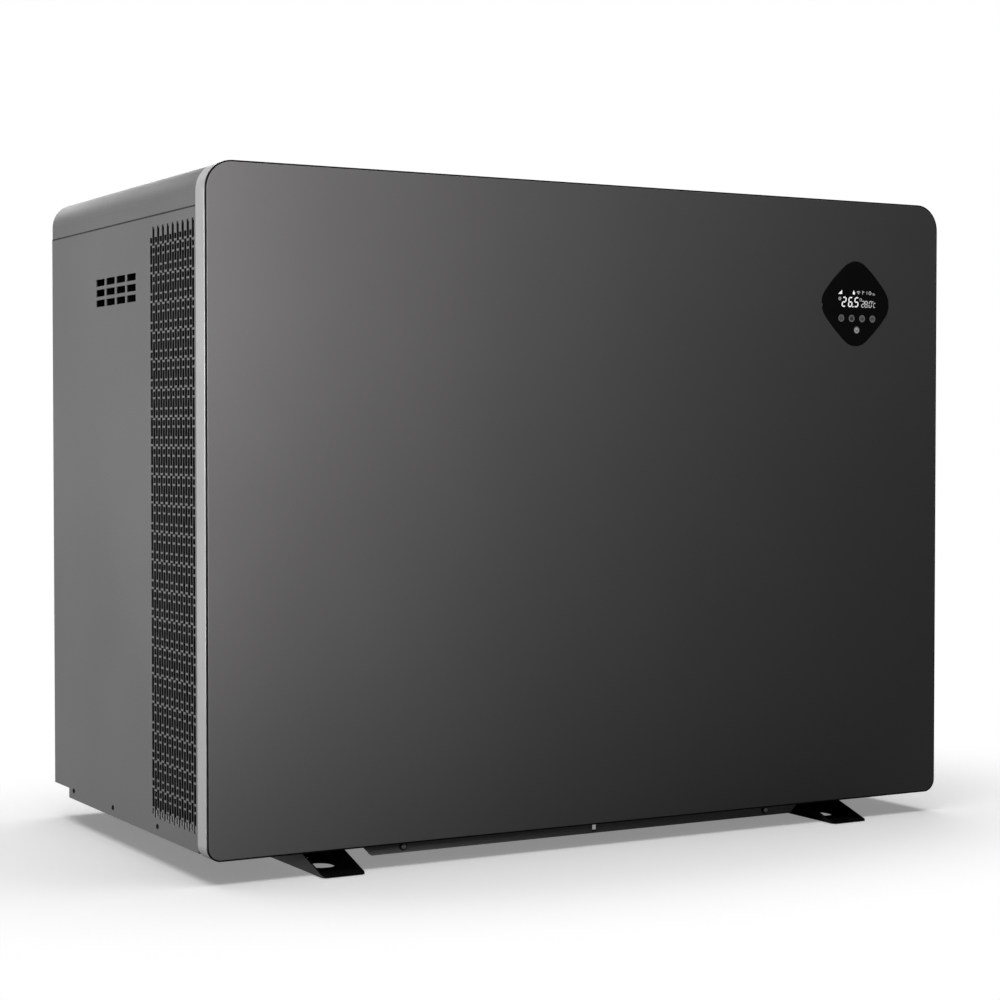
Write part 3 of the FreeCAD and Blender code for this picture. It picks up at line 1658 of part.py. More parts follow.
def gauge_disc(radius, length, offset):
    """Cylinder on the gauge axis, offset from the outer face of the right panel."""
    return cylinder(radius, length, skin_x + offset, GAUGE_Y, GAUGE_Z, "x")


node(
    "pressure_gauge_case",
    cut(
        fuse(
            gauge_disc(29, 24, -18),
            gauge_disc(33, 2.2, 0),
            gauge_disc(31.5, 6, 0),
            gauge_disc(5, 14, -30),
        ),
        gauge_disc(27, 30, -10),
        gauge_disc(28.5, 6, 3.2),
        gauge_disc(1.05, 24, -28),
    ),
)
node("pressure_gauge_dial", cut(gauge_disc(26.95, 1, -9.9), gauge_disc(1.3, 6, -12)))
pointer = box(-1.0, 20, -0.8, 0.8, 0, 0.8)
upright = Placement(Vector(0, 0, 0), Rotation(Vector(0, 1, 0), -90))
dial_turn = Placement(point(skin_x - 4.6, GAUGE_Y, GAUGE_Z), Rotation(Vector(1, 0, 0), 225))
pointer.Placement = dial_turn.multiply(upright).multiply(pointer.Placement)
node(
    "pressure_gauge_needle",
    fuse(gauge_disc(1.0, 16, -20), gauge_disc(3, 1.6, -5.4), pointer),
)
node("pressure_gauge_lens", gauge_disc(28.45, 1.6, 3.2))

# ------------------------------------------------------------------ condensate nozzle in the pan
node(
    "drain_nozzle",
    cut(
        fuse(
            cylinder(16, 2.5, *DRAIN, pan_floor_z),
            cylinder(10, 26, *DRAIN, pan_floor_z - 24.5),
            cylinder(14, 3, *DRAIN, pan_z - 3.05),
        ),
        cylinder(7, 60, *DRAIN, pan_z - 30),
    ),
)

# ------------------------------------------------------------------ pieces that belong together
SETS = {
    "rear_posts": ["left_rear_post", "right_rear_post"],
    "vent_inserts": ["left_vent_insert", "right_vent_insert"],
    "evaporator_tubes": [
        "evaporator_hairpins",
        "evaporator_return_bends",
        "evaporator_gas_header",
        "evaporator_liquid_header",
    ],
    "fan_motor_case": ["fan_motor_housing", "fan_motor_end_bell", "fan_motor_bearings"],
    "fan_shaft": ["fan_motor_shaft", "fan_nut"],
    "compressor_crank": ["compressor_crankshaft", "compressor_roller"],
    "compressor_housing": ["compressor_shell", "compressor_pump_block", "compressor_stator"],
    "accumulator": ["suction_accumulator", "accumulator_strap"],
    "exchanger_housing": [
        "heat_exchanger_shell",
        "heat_exchanger_base_cap",
        "heat_exchanger_top_cap",
        "exchanger_stand",
        "heat_exchanger_core",
    ],
    "titanium_heat_coil": ["titanium_coil", "titanium_leads"],
    "water_stubs": ["water_inlet_stub", "water_outlet_stub"],
    "union_tailpieces": ["water_inlet_tailpiece", "water_outlet_tailpiece"],
    "expansion_valve": ["expansion_valve_body", "expansion_valve_stator"],
    "gas_lines": [
        "discharge_line",
        "suction_line",
        "evaporator_gas_line",
        "exchanger_gas_line",
    ],
    "liquid_lines": ["liquid_line", "distributor_line"],
    "control_box_tray": ["control_box", "control_box_brackets"],
    "casing_screws": ["side_panel_screws", "rear_screws"],
    "floor_bolts": ["foot_rail_bolts", "compressor_studs"],
}
for label, members in SETS.items():
    node(label, group(*[nodes.pop(member) for member in members]))

# ------------------------------------------------------------------ check and export
doc.recompute()
bad = [o.Name for o in doc.Objects if "Invalid" in o.State or "Error" in o.State]
for label, o in nodes.items():
    if o.Shape.isNull() or not o.Shape.isValid():
        bad.append(label)
    if not o.Shape.Solids:
        bad.append(label + " (no solid)")
if bad:
    raise RuntimeError("failed: %s" % bad)
os.makedirs("parts", exist_ok=True)
for label, o in nodes.items():
    o.Shape.exportStep("parts/%s.step" % label)
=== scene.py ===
"""Boxed outdoor unit on two foot rails: finishes, lit controller display, dark strips in the cover
seams as painted shade, fins, gauge.

The front faces -Y, the left side -X, and +Z is up. The unit stands on the floor near z = 0.
Lengths are metres, except the display and the gauge dial, which are drawn in millimetres.
"""

import bpy
import bmesh
import json
import math
import random
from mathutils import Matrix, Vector

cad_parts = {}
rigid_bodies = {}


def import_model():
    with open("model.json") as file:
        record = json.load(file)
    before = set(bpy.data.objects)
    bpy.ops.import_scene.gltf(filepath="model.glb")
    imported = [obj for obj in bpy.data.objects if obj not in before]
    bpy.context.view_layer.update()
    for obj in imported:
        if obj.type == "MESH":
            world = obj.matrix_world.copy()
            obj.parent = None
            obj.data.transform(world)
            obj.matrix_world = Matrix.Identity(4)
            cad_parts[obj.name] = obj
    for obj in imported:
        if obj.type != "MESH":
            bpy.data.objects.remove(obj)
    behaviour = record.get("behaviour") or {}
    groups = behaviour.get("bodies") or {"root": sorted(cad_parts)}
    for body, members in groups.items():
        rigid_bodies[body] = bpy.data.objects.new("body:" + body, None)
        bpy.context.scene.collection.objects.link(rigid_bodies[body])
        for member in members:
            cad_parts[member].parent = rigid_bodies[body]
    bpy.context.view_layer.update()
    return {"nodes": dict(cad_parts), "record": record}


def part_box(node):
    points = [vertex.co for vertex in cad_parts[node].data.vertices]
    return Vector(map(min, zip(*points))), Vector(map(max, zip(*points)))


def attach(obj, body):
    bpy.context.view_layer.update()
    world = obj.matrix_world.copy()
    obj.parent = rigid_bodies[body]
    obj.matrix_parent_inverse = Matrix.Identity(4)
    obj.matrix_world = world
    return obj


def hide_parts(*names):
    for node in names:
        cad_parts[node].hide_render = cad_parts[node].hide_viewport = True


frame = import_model()
nodes = frame["nodes"]
record = frame["record"]


scene = bpy.context.scene

# ---------------------------------------------------------------- shader node helpers


def feed(tree, socket, value):
    """Link a socket to an input, or store a value in it; colours are given as RGB."""
    if isinstance(value, bpy.types.NodeSocket):
        tree.links.new(value, socket)
    else:
        socket.default_value = (*value, 1.0) if socket.type == "RGBA" else value


def add_node(tree, kind, inputs=None, **settings):
    node = tree.nodes.new(kind)
    for key, value in settings.items():
        setattr(node, key, value)
    for key, value in (inputs or {}).items():
        feed(tree, node.inputs[key], value)
    return node


def shift(colour, gain, lift=0.0):
    return tuple(min(1.0, c * gain + lift) for c in colour)


class Finish:
    """A Principled material textured in object coordinates."""

    def __init__(self, name):
        self.material = bpy.data.materials.new(name)
        self.material.use_nodes = True
        self.tree = self.material.node_tree
        self.bsdf = self.tree.nodes["Principled BSDF"]
        self.coords = self.node("ShaderNodeTexCoord").outputs["Object"]
        self.normal = None

    def node(self, kind, inputs=None, **settings):
        return add_node(self.tree, kind, inputs, **settings)

    def set(self, inputs):
        for key, value in inputs.items():
            feed(self.tree, self.bsdf.inputs[key], value)

    def scaled(self, scale, turn=(0.0, 0.0, 0.0)):
        inputs = {"Scale": scale, "Rotation": turn, "Vector": self.coords}
        return self.node("ShaderNodeMapping", inputs).outputs["Vector"]

    def noise(self, scale, detail=2.0, rough=0.5, coords=None):
        inputs = {
            "Scale": scale, "Detail": detail, "Roughness": rough,
            "Vector": coords or self.coords,
        }
        return self.node("ShaderNodeTexNoise", inputs).outputs["Fac"]

    def cells(self, scale, output="Color"):
        inputs = {"Scale": scale, "Vector": self.coords}
        return self.node("ShaderNodeTexVoronoi", inputs).outputs[output]

    def remap(self, value, to, span=(0.3, 0.7)):
        """Map span onto to, clamped; the default span is where most of a noise lies."""
        inputs = {
            "From Min": span[0], "From Max": span[1],
            "To Min": to[0], "To Max": to[1], "Value": value,
        }
        return self.node("ShaderNodeMapRange", inputs).outputs[0]

    def math(self, operation, a, b=0.0):
        return self.node("ShaderNodeMath", {0: a, 1: b}, operation=operation).outputs[0]

    def mix(self, factor, first, second):
        # sockets 6, 7 and output 2 are the colour ones
        inputs = {0: factor, 6: first, 7: second}
        return self.node("ShaderNodeMix", inputs, data_type="RGBA").outputs[2]

    def times(self, colour, factor):
        inputs = {0: colour, "Scale": factor}
        return self.node("ShaderNodeVectorMath", inputs, operation="SCALE").outputs[0]

    def bump(self, height, strength, distance):
        """Add a bump on top of any made before it."""
        inputs = {"Strength": strength, "Distance": distance, "Height": height}
        if self.normal is not None:
            inputs["Normal"] = self.normal
        self.normal = self.node("ShaderNodeBump", inputs).outputs["Normal"]
        self.set({"Normal": self.normal})


# ---------------------------------------------------------------- finishes


def powder(name, colour, rough, metal, flake, warm=0.0, peel=0.28, dust=0.10, spec=0.45,
           shade_all_but_sides_x=None):
    """Metallic powder coat: fine flakes, orange peel, slow colour drift, settled dust.

    The (inner, outer) x pair keeps the coat only on the sideways faces beyond those |x|; everything
    else is painted near-black as painted shade.
    """
    m = Finish(name)
    speck = m.node("ShaderNodeSeparateColor", {0: m.cells(2600.0)}).outputs[0]
    hot = m.remap(speck, span=(0.80, 1.0), to=(0.0, 1.0))
    grain = m.noise(1500.0, detail=3.0, rough=0.65)
    drift = m.noise(3.1, detail=4.0, rough=0.55)
    level = m.math(
        "MULTIPLY",
        m.remap(grain, to=(1.0 - flake * 0.45, 1.0 + flake * 0.45)),
        m.remap(drift, to=(0.965, 1.035)),
    )
    level = m.math("ADD", level, m.math("MULTIPLY", hot, flake))
    coat = m.times((colour[0] * (1 + warm), colour[1], colour[2]), level)

    # settled dust on faces that look up
    geometry = m.node("ShaderNodeNewGeometry").outputs
    normal = m.node("ShaderNodeSeparateXYZ", {0: geometry["Normal"]}).outputs
    up = m.remap(normal["Z"], span=(0.5, 1.0), to=(0.0, 1.0))
    patches = m.remap(m.noise(24.0, detail=5.0, rough=0.7), span=(0.42, 0.75), to=(0.0, dust))
    shade = m.mix(m.math("MULTIPLY", up, patches), coat, (0.32, 0.31, 0.29))

    m.set({"Metallic": metal, "Specular IOR Level": spec})
    if shade_all_but_sides_x:
        position = m.node("ShaderNodeSeparateXYZ", {0: geometry["Position"]}).outputs
        x = m.math("ABSOLUTE", position["X"])
        sideways = m.math("GREATER_THAN", m.math("ABSOLUTE", normal["X"]), 0.9)
        beyond = m.math(
            "MAXIMUM",
            m.math("GREATER_THAN", x, shade_all_but_sides_x[1]),
            m.math("LESS_THAN", x, shade_all_but_sides_x[0]),
        )
        # the coat shows only on these outer sideways faces; elsewhere the near-black with low
        # specular is painted shade
        unshaded_mask = m.math("MULTIPLY", sideways, beyond)
        shade = m.mix(unshaded_mask, (0.0035, 0.0035, 0.0036), shade)
        m.set({"Specular IOR Level": m.remap(unshaded_mask, span=(0.0, 1.0), to=(0.06, spec))})
    fine = m.remap(m.noise(620.0), to=(rough - 0.05, rough + 0.05))
    slow = m.remap(m.noise(7.0, detail=4.0), span=(0.35, 0.7), to=(-0.02, 0.03))
    m.set({"Base Color": shade, "Roughness": m.math("ADD", fine, slow)})
    m.bump(m.noise(900.0), strength=peel, distance=0.00006)
    m.bump(m.noise(160.0, detail=1.0, rough=0.4), strength=0.10, distance=0.0001)
    return m.material


def moulded(name, colour, rough=0.5, grain=700.0, coat=0.0, spec=0.4, scuff=0.5):
    """Moulded plastic: spark-eroded texture, flow marks and faint scuffs."""
    m = Finish(name)
    flow = m.noise(9.0, detail=3.0, rough=0.6, coords=m.scaled((1.0, 1.0, 4.0)))
    streaks = m.scaled((1.0, 7.0, 1.0), turn=(0.2, 0.4, 0.6))
    scuffs = m.noise(60.0, detail=6.0, rough=0.7, coords=streaks)
    shade = m.mix(m.remap(flow, to=(0.0, 0.35)), colour, shift(colour, 1.35, 0.004))
    worn = m.remap(scuffs, span=(0.62, 0.8), to=(0.0, 0.22 * scuff))
    m.set({
        "Base Color": m.mix(worn, shade, shift(colour, 1.8, 0.02)),
        "Roughness": m.remap(m.noise(grain * 0.6, detail=3.0), to=(rough - 0.07, rough + 0.08)),
        "Specular IOR Level": spec, "Coat Weight": coat, "Coat Roughness": 0.2,
    })
    m.bump(m.cells(grain, "Distance"), strength=0.22, distance=0.0001)
    m.bump(scuffs, strength=0.05, distance=0.0002)
    return m.material


def rubber(name, colour):
    """Matt rubber with a pale bloom."""
    m = Finish(name)
    grain = m.noise(260.0, detail=5.0, rough=0.7)
    bloom = m.remap(m.noise(22.0, detail=4.0, rough=0.6), span=(0.45, 0.75), to=(0.0, 0.3))
    m.set({
        "Base Color": m.mix(bloom, colour, shift(colour, 1.6, 0.012)),
        "Roughness": m.remap(grain, to=(0.62, 0.82)),
        "Specular IOR Level": 0.3,
    })
    m.bump(grain, strength=0.35, distance=0.0001)
    return m.material


def sheet_zinc(name, colour):
    """Galvanised sheet with its crystal spangle."""
    m = Finish(name)
    spangle = m.node("ShaderNodeSeparateColor", {0: m.cells(70.0)}).outputs
    sheet = m.times(colour, m.remap(spangle[0], span=(0.0, 1.0), to=(0.8, 1.12)))
    stain = m.remap(m.noise(14.0, detail=6.0, rough=0.65), span=(0.52, 0.8), to=(0.0, 0.35))
    m.set({
        "Base Color": m.mix(stain, sheet, (0.30, 0.30, 0.30)),
        "Metallic": 0.85,
        "Roughness": m.remap(spangle[1], span=(0.0, 1.0), to=(0.30, 0.52)),
    })
    m.bump(m.noise(420.0), strength=0.12, distance=0.0001)
    return m.material


def turned(name, colour, rough, metal=1.0, dark=None, axis="x", stain=0.25):
    """Machined or drawn metal with fine lines along axis, darker in patches."""
    m = Finish(name)
    stretch = tuple(1.0 if a == axis else 40.0 for a in "xyz")
    lines = m.noise(45.0, detail=3.0, rough=0.6, coords=m.scaled(stretch))
    patches = m.noise(36.0, detail=5.0, rough=0.65)
    stained = m.remap(patches, span=(0.45, 0.75), to=(0.0, stain))
    shade = m.mix(stained, colour, dark or shift(colour, 0.55))
    shade = m.mix(m.remap(lines, to=(0.0, 0.18)), shade, shift(colour, 1.2, 0.02))
    line_rough = m.remap(lines, to=(rough - 0.06, rough + 0.06))
    patch_rough = m.remap(patches, span=(0.4, 0.7), to=(0.0, 0.12))
    m.set({
        "Base Color": shade, "Metallic": metal,
        "Roughness": m.math("ADD", line_rough, patch_rough),
    })
    m.bump(lines, strength=0.12, distance=0.00008)
    return m.material


def enamel(name, colour, rough):
    """Sprayed enamel with a rippled surface and dust."""
    m = Finish(name)
    ripple = m.noise(120.0, detail=3.0, rough=0.6)
    dust = m.remap(m.noise(18.0, detail=6.0, rough=0.7), span=(0.5, 0.8), to=(0.0, 0.25))
    m.set({
        "Base Color": m.mix(dust, colour, (0.10, 0.095, 0.09)),
        "Roughness": m.remap(ripple, to=(rough - 0.06, rough + 0.08)),
        "Specular IOR Level": 0.5, "Coat Weight": 0.25, "Coat Roughness": 0.25,
    })
    m.bump(ripple, strength=0.22, distance=0.0002)
    return m.material


def gloss_black(name):
    """Black touch glass: nearly flat, faint smears."""
    m = Finish(name)
    coords = m.scaled((1.0, 1.0, 2.2), turn=(0.0, 0.5, 0.0))
    smear = m.noise(30.0, detail=5.0, rough=0.6, coords=coords)
    film = m.remap(smear, span=(0.45, 0.8), to=(0.0, 0.5))
    m.set({
        "Base Color": m.mix(film, (0.0045, 0.0045, 0.005), (0.0085, 0.0085, 0.009)),
        "Roughness": m.remap(smear, span=(0.35, 0.75), to=(0.10, 0.22)),
        "Specular IOR Level": 0.32,
    })
    m.bump(smear, strength=0.02, distance=0.0002)
    return m.material


def circuit(name):
    """Green board with tracks and pads."""
    m = Finish(name)
    tracks = m.node("ShaderNodeTexBrick", {
        "Scale": 140.0, "Mortar Size": 0.03, "Color1": (0.012, 0.10, 0.045),
        "Color2": (0.018, 0.13, 0.06), "Mortar": (0.04, 0.22, 0.10), "Vector": m.coords,
    }).outputs
    pads = m.remap(m.cells(230.0, "Distance"), span=(0.0, 0.14), to=(1.0, 0.0))
    m.set({
        "Base Color": m.mix(pads, tracks["Color"], (0.6, 0.55, 0.4)),
        "Roughness": m.remap(m.noise(90.0, detail=3.0), to=(0.28, 0.45)),
    })
    m.bump(tracks["Fac"], strength=0.2, distance=0.0001)
    return m.material


def clear(name):
    """Clear lens with a slight haze."""
    m = Finish(name)
    haze = m.noise(55.0, detail=4.0, rough=0.6)
    m.set({
        "Base Color": (0.95, 0.97, 0.97), "Transmission Weight": 1.0, "IOR": 1.46,
        "Roughness": m.remap(haze, span=(0.4, 0.75), to=(0.02, 0.09)),
    })
    return m.material


def glow(name, strength):
    """White lit legend behind black glass, a little uneven."""
    m = Finish(name)
    m.set({
        "Base Color": (0.02, 0.02, 0.02), "Roughness": 0.35, "Emission Color": (1.0, 1.0, 1.0),
        "Emission Strength": m.remap(m.noise(700.0), to=(strength * 0.93, strength * 1.07)),
    })
    return m.material


GRAPHITE = (0.118, 0.117, 0.118)
# only the two outer sides of each foot rail keep the finish coat; the channel is painted near-black
# as painted shade
SIDE_DEPTH = 0.0006
rail_lo, rail_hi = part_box("right_foot_rail")
RAIL_UNSHADED_SIDES = (rail_lo.x + SIDE_DEPTH, rail_hi.x - SIDE_DEPTH)

# material name: (finish function, its settings)
FINISHES = {
    "graphite_coat": (powder, dict(colour=GRAPHITE, rough=0.47, metal=0.30, flake=0.18)),
    "graphite_front": (powder, dict(
        colour=GRAPHITE, rough=0.44, metal=0.30, flake=0.14, warm=0.02, peel=0.2)),
    "silver_frame": (powder, dict(
        colour=(0.43, 0.43, 0.434), rough=0.38, metal=0.45, flake=0.07, peel=0.15)),
    "black_gasket": (rubber, dict(colour=(0.010, 0.010, 0.010))),
    "black_coat": (powder, dict(
        colour=(0.014, 0.014, 0.0145), rough=0.56, metal=0.0, flake=0.12, peel=0.5,
        dust=0.0, spec=0.18)),
    # foot rails: coated outer sides, channel painted near-black as painted shade
    "foot_coat": (powder, dict(
        colour=(0.030, 0.030, 0.031), rough=0.5, metal=0.0, flake=0.12, peel=0.5,
        dust=0.0, shade_all_but_sides_x=RAIL_UNSHADED_SIDES)),
    # fan deck: near-black and almost unreflective, painted shade for the dark view through the side
    # slots
    "deck_coat": (powder, dict(
        colour=(0.0045, 0.0045, 0.0046), rough=0.85, metal=0.0, flake=0.12, peel=0.5,
        dust=0.0, spec=0.08)),
    # vent inserts: almost pure black with no specular, painted shade for the dark vent openings
    "vent_plastic": (moulded, dict(
        colour=(0.0006, 0.0006, 0.0006), rough=0.9, spec=0.0, scuff=0.02)),
    # base pan: a lighter copy of the graphite coat, painted light making up for the shade under the
    # front panel's overhang
    "pan_coat": (powder, dict(colour=(0.205, 0.204, 0.205), rough=0.5, metal=0.2, flake=0.16)),
    "galvanised": (sheet_zinc, dict(colour=(0.52, 0.53, 0.55))),
    "zinc_screw": (turned, dict(colour=(0.62, 0.62, 0.60), rough=0.3, dark=(0.36, 0.34, 0.28))),
    "dark_screw": (moulded, dict(
        colour=(0.0035, 0.0035, 0.0035), rough=0.7, grain=900.0, spec=0.08, scuff=0.3)),
    "black_plastic": (moulded, dict(colour=(0.012, 0.012, 0.013), rough=0.46)),
    "display_glass": (gloss_black, {}),
    "copper": (turned, dict(
        colour=(0.78, 0.38, 0.24), rough=0.30, dark=(0.32, 0.14, 0.09), stain=0.55)),
    "motor_case": (enamel, dict(colour=(0.03, 0.03, 0.033), rough=0.38)),
    "steel": (turned, dict(colour=(0.56, 0.56, 0.57), rough=0.26)),
    "fan_plastic": (moulded, dict(colour=(0.028, 0.028, 0.03), rough=0.55, grain=420.0)),
    "compressor_black": (enamel, dict(colour=(0.012, 0.012, 0.013), rough=0.3)),
    "rubber": (rubber, dict(colour=(0.012, 0.012, 0.012))),
    "pvc_grey": (moulded, dict(colour=(0.19, 0.20, 0.215), rough=0.36, grain=900.0, coat=0.1)),
    "pvc_white": (moulded, dict(
        colour=(0.62, 0.62, 0.605), rough=0.3, grain=1100.0, coat=0.15, scuff=0.2)),
    "titanium": (turned, dict(colour=(0.46, 0.43, 0.40), rough=0.36, dark=(0.26, 0.24, 0.30))),
    "brass": (turned, dict(colour=(0.72, 0.54, 0.25), rough=0.3, dark=(0.35, 0.24, 0.10))),
    "board_green": (circuit, {}),
    "aluminium_cast": (turned, dict(colour=(0.66, 0.66, 0.66), rough=0.4, axis="y")),
    "gauge_face": (moulded, dict(colour=(0.82, 0.82, 0.79), grain=1500.0, scuff=0.1)),
    "clear_lens": (clear, {}),
    "red_needle": (enamel, dict(colour=(0.55, 0.02, 0.012), rough=0.4)),
    "fin_aluminium": (turned, dict(
        colour=(0.56, 0.63, 0.70), rough=0.42, metal=0.9, dark=(0.34, 0.42, 0.52), axis="z",
        stain=0.3)),
}
mats = {name: finish(name, **settings) for name, (finish, settings) in FINISHES.items()}

# pieces given a lighter or darker copy of their slot's finish as painted light and painted shade
PAINTED_LIGHT_SWAPS = {
    "fan_deck": "deck_coat", "vent_inserts": "vent_plastic", "base_pan": "pan_coat",
    "left_foot_rail": "foot_coat", "right_foot_rail": "foot_coat",
}
slots = {part["node"]: part["material_slot"] for part in record["subparts"]}
for name, piece in nodes.items():
    piece.data.materials.clear()
    piece.data.materials.append(mats[PAINTED_LIGHT_SWAPS.get(name, slots[name])])

# ---------------------------------------------------------------- mesh helpers


def new_object(name, bm, material):
    mesh = bpy.data.meshes.new(name)
    bm.to_mesh(mesh)
    bm.free()
    piece = bpy.data.objects.new(name, mesh)
    scene.collection.objects.link(piece)
    mesh.materials.append(material)
    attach(piece, "casing")
    return piece


def raise_shapes(name, shapes, place, depths, material):
    """Thin prisms from flat outlines; place(u, v, depth) gives a point in mm."""
    bm = bmesh.new()
    for shape in shapes:
        front, back = (
            [bm.verts.new(Vector(place(u, v, depth)) / 1000.0) for u, v in shape]
            for depth in depths
        )
        bm.faces.new(front)
        bm.faces.new(back[::-1])
        for i in range(len(shape)):
            j = (i + 1) % len(shape)
            bm.faces.new([front[i], back[i], back[j], front[j]])
    bmesh.ops.recalc_face_normals(bm, faces=bm.faces)
    new_object(name, bm, material)


# ---------------------------------------------------------------- flat outlines, in mm


def polar(x, z, radius, angle):
    return (x + radius * math.cos(angle), z + radius * math.sin(angle))


def disc(x, z, radius, sides=20):
    return [polar(x, z, radius, 2 * math.pi * i / sides) for i in range(sides)]


def arc(x, z, radius, stroke, start, end, steps=14):
    """Ring sector as small quads, between angles in degrees."""
    outer, inner = radius + stroke / 2, radius - stroke / 2
    angles = [math.radians(start + (end - start) * i / steps) for i in range(steps + 1)]
    return [
        [polar(x, z, outer, a), polar(x, z, outer, b), polar(x, z, inner, b), polar(x, z, inner, a)]
        for a, b in zip(angles, angles[1:])
    ]


def ring(x, z, radius, stroke, steps):
    return arc(x, z, radius, stroke, 0, 360, steps)


def bar(x0, z0, x1, z1, stroke):
    along = Vector((x1 - x0, z1 - z0)).normalized()
    n = Vector((-along.y, along.x)) * stroke / 2
    return [
        (x0 + n.x, z0 + n.y), (x1 + n.x, z1 + n.y), (x1 - n.x, z1 - n.y), (x0 - n.x, z0 - n.y),
    ]


def bars(rows, x=0.0, z=0.0):
    """Bars from rows of start x, z, end x, z and stroke, about a centre."""
    return [bar(x + x0, z + z0, x + x1, z + z1, stroke) for x0, z0, x1, z1, stroke in rows]


def spoke(x, z, start, end, degrees, stroke):
    angle = math.radians(degrees)
    return bar(*polar(x, z, start, angle), *polar(x, z, end, angle), stroke)


# segments lit for each figure: a is the top, then clockwise to f, with g across the middle
SEGMENTS = {
    "0": "abcdef", "1": "bc", "2": "abged", "3": "abgcd", "4": "fgbc", "5": "afgcd",
    "6": "afgedc", "7": "abc", "8": "abcdefg", "9": "abcdfg", "C": "adef",
}


def digit(figure, x, z, width, height, stroke, slant=0.12):
    """Seven-segment figure with pointed ends."""
    half = stroke / 2
    gap = stroke * 0.16
    middle = height / 2

    def segment(x0, z0, x1, z1):
        along = Vector((x1 - x0, z1 - z0)).normalized()
        side = Vector((-along.y, along.x)) * half
        start = Vector((x0, z0)) + along * gap
        end = Vector((x1, z1)) - along * gap
        a, b = start + along * half, end - along * half
        outline = [start, a + side, b + side, end, b - side, a - side]
        return [(x + p.x + p.y * slant, z + p.y) for p in outline]

    ends = {
        "a": (0, height, width, height), "b": (width, height, width, middle),
        "c": (width, middle, width, 0), "d": (0, 0, width, 0),
        "e": (0, 0, 0, middle), "f": (0, middle, 0, height),
        "g": (0, middle, width, middle),
    }
    return [segment(*ends[key]) for key in SEGMENTS[figure]]


# ---------------------------------------------------------------- display legends
# x runs right and z up from the centre of the glass
LEGEND_GAP = 0.05  # from the glass to the middle of the legend
glass_lo, glass_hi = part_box("controller_glass")
glass_x = (glass_lo.x + glass_hi.x) / 2 * 1000
glass_z = (glass_lo.z + glass_hi.z) / 2 * 1000
legend_y = glass_lo.y * 1000 - LEGEND_GAP

lit = glow("legend_lit", strength=0.95)
lit_soft = glow("legend_soft", strength=0.46)
dim = glow("legend_dim", strength=0.17)
key_fill = glow("legend_key_fill", strength=0.07)
key_mark = glow("legend_key_mark", strength=0.006)


def on_glass(name, shapes, material, half=0.04):
    def place(x, z, depth):
        return (glass_x + x, legend_y + depth, glass_z + z)

    raise_shapes(name, shapes, place, (-half, half), material)


def temperatures():
    """A large reading on the left, and a smaller one on the right in degrees C."""
    large = []
    for figure, x in (("2", -20.4), ("6", -10.9), ("5", -1.8)):
        large += digit(figure, x, z=-3.3, width=5.0, height=10.6, stroke=1.5)
    large.append(disc(-3.9, -3.6, radius=0.85))
    on_glass("display_figures_large", large, lit)

    small = []
    for figure, x in (("2", 8.9), ("8", 13.7), ("0", 20.2)):
        small += digit(figure, x, z=-3.6, width=3.7, height=7.0, stroke=1.15)
    small.append(disc(18.7, -3.7, radius=0.5))
    small += digit("C", 27.0, z=-3.6, width=2.8, height=5.2, stroke=0.95)
    small += ring(26.2, 3.2, radius=0.7, stroke=0.4, steps=12)
    on_glass("display_figures_small", small, lit_soft)


def status_marks():
    # a triangle at the left and a drop near the middle of the top row
    bright = [[(-26.2, 11.2), (-20.4, 16.0), (-20.4, 11.2)]]
    bright += [disc(-2.6, 12.5, radius=1.6), [(-4.1, 13.2), (-2.6, 16.0), (-1.1, 13.2)]]
    on_glass("display_marks_lit", bright, lit)

    # two nested arcs over a dot
    soft = []
    for radius in (3.2, 1.9):
        soft += arc(4.4, 11.9, radius, stroke=0.7, start=40, end=140)
    soft.append(disc(4.4, 12.2, radius=0.7))
    # a flag, then an upright stroke
    soft += bars([
        (10.4, 11.4, 10.4, 15.8, 0.5), (10.4, 15.6, 13.2, 14.4, 0.5),
        (13.2, 14.4, 10.4, 13.2, 0.5), (17.2, 11.4, 17.2, 15.6, 0.6),
    ])
    # a clock, then two level strokes
    soft += ring(21.9, 13.4, radius=1.9, stroke=0.6, steps=16)
    soft += bars([
        (21.9, 13.4, 21.9, 14.8, 0.5), (21.9, 13.4, 23.0, 13.4, 0.5),
        (26.0, 11.6, 29.4, 11.6, 0.8), (26.0, 13.0, 28.2, 13.0, 0.6),
    ])
    # a sun, and a plain ring to its right
    for i in range(8):
        soft.append(spoke(-23.7, 5.7, start=1.4, end=2.4, degrees=45 * i, stroke=0.5))
    soft += ring(-23.7, 5.7, radius=1.0, stroke=0.6, steps=12)
    soft += ring(7.8, 5.0, radius=1.5, stroke=0.6, steps=14)
    on_glass("display_marks_soft", soft, lit_soft)


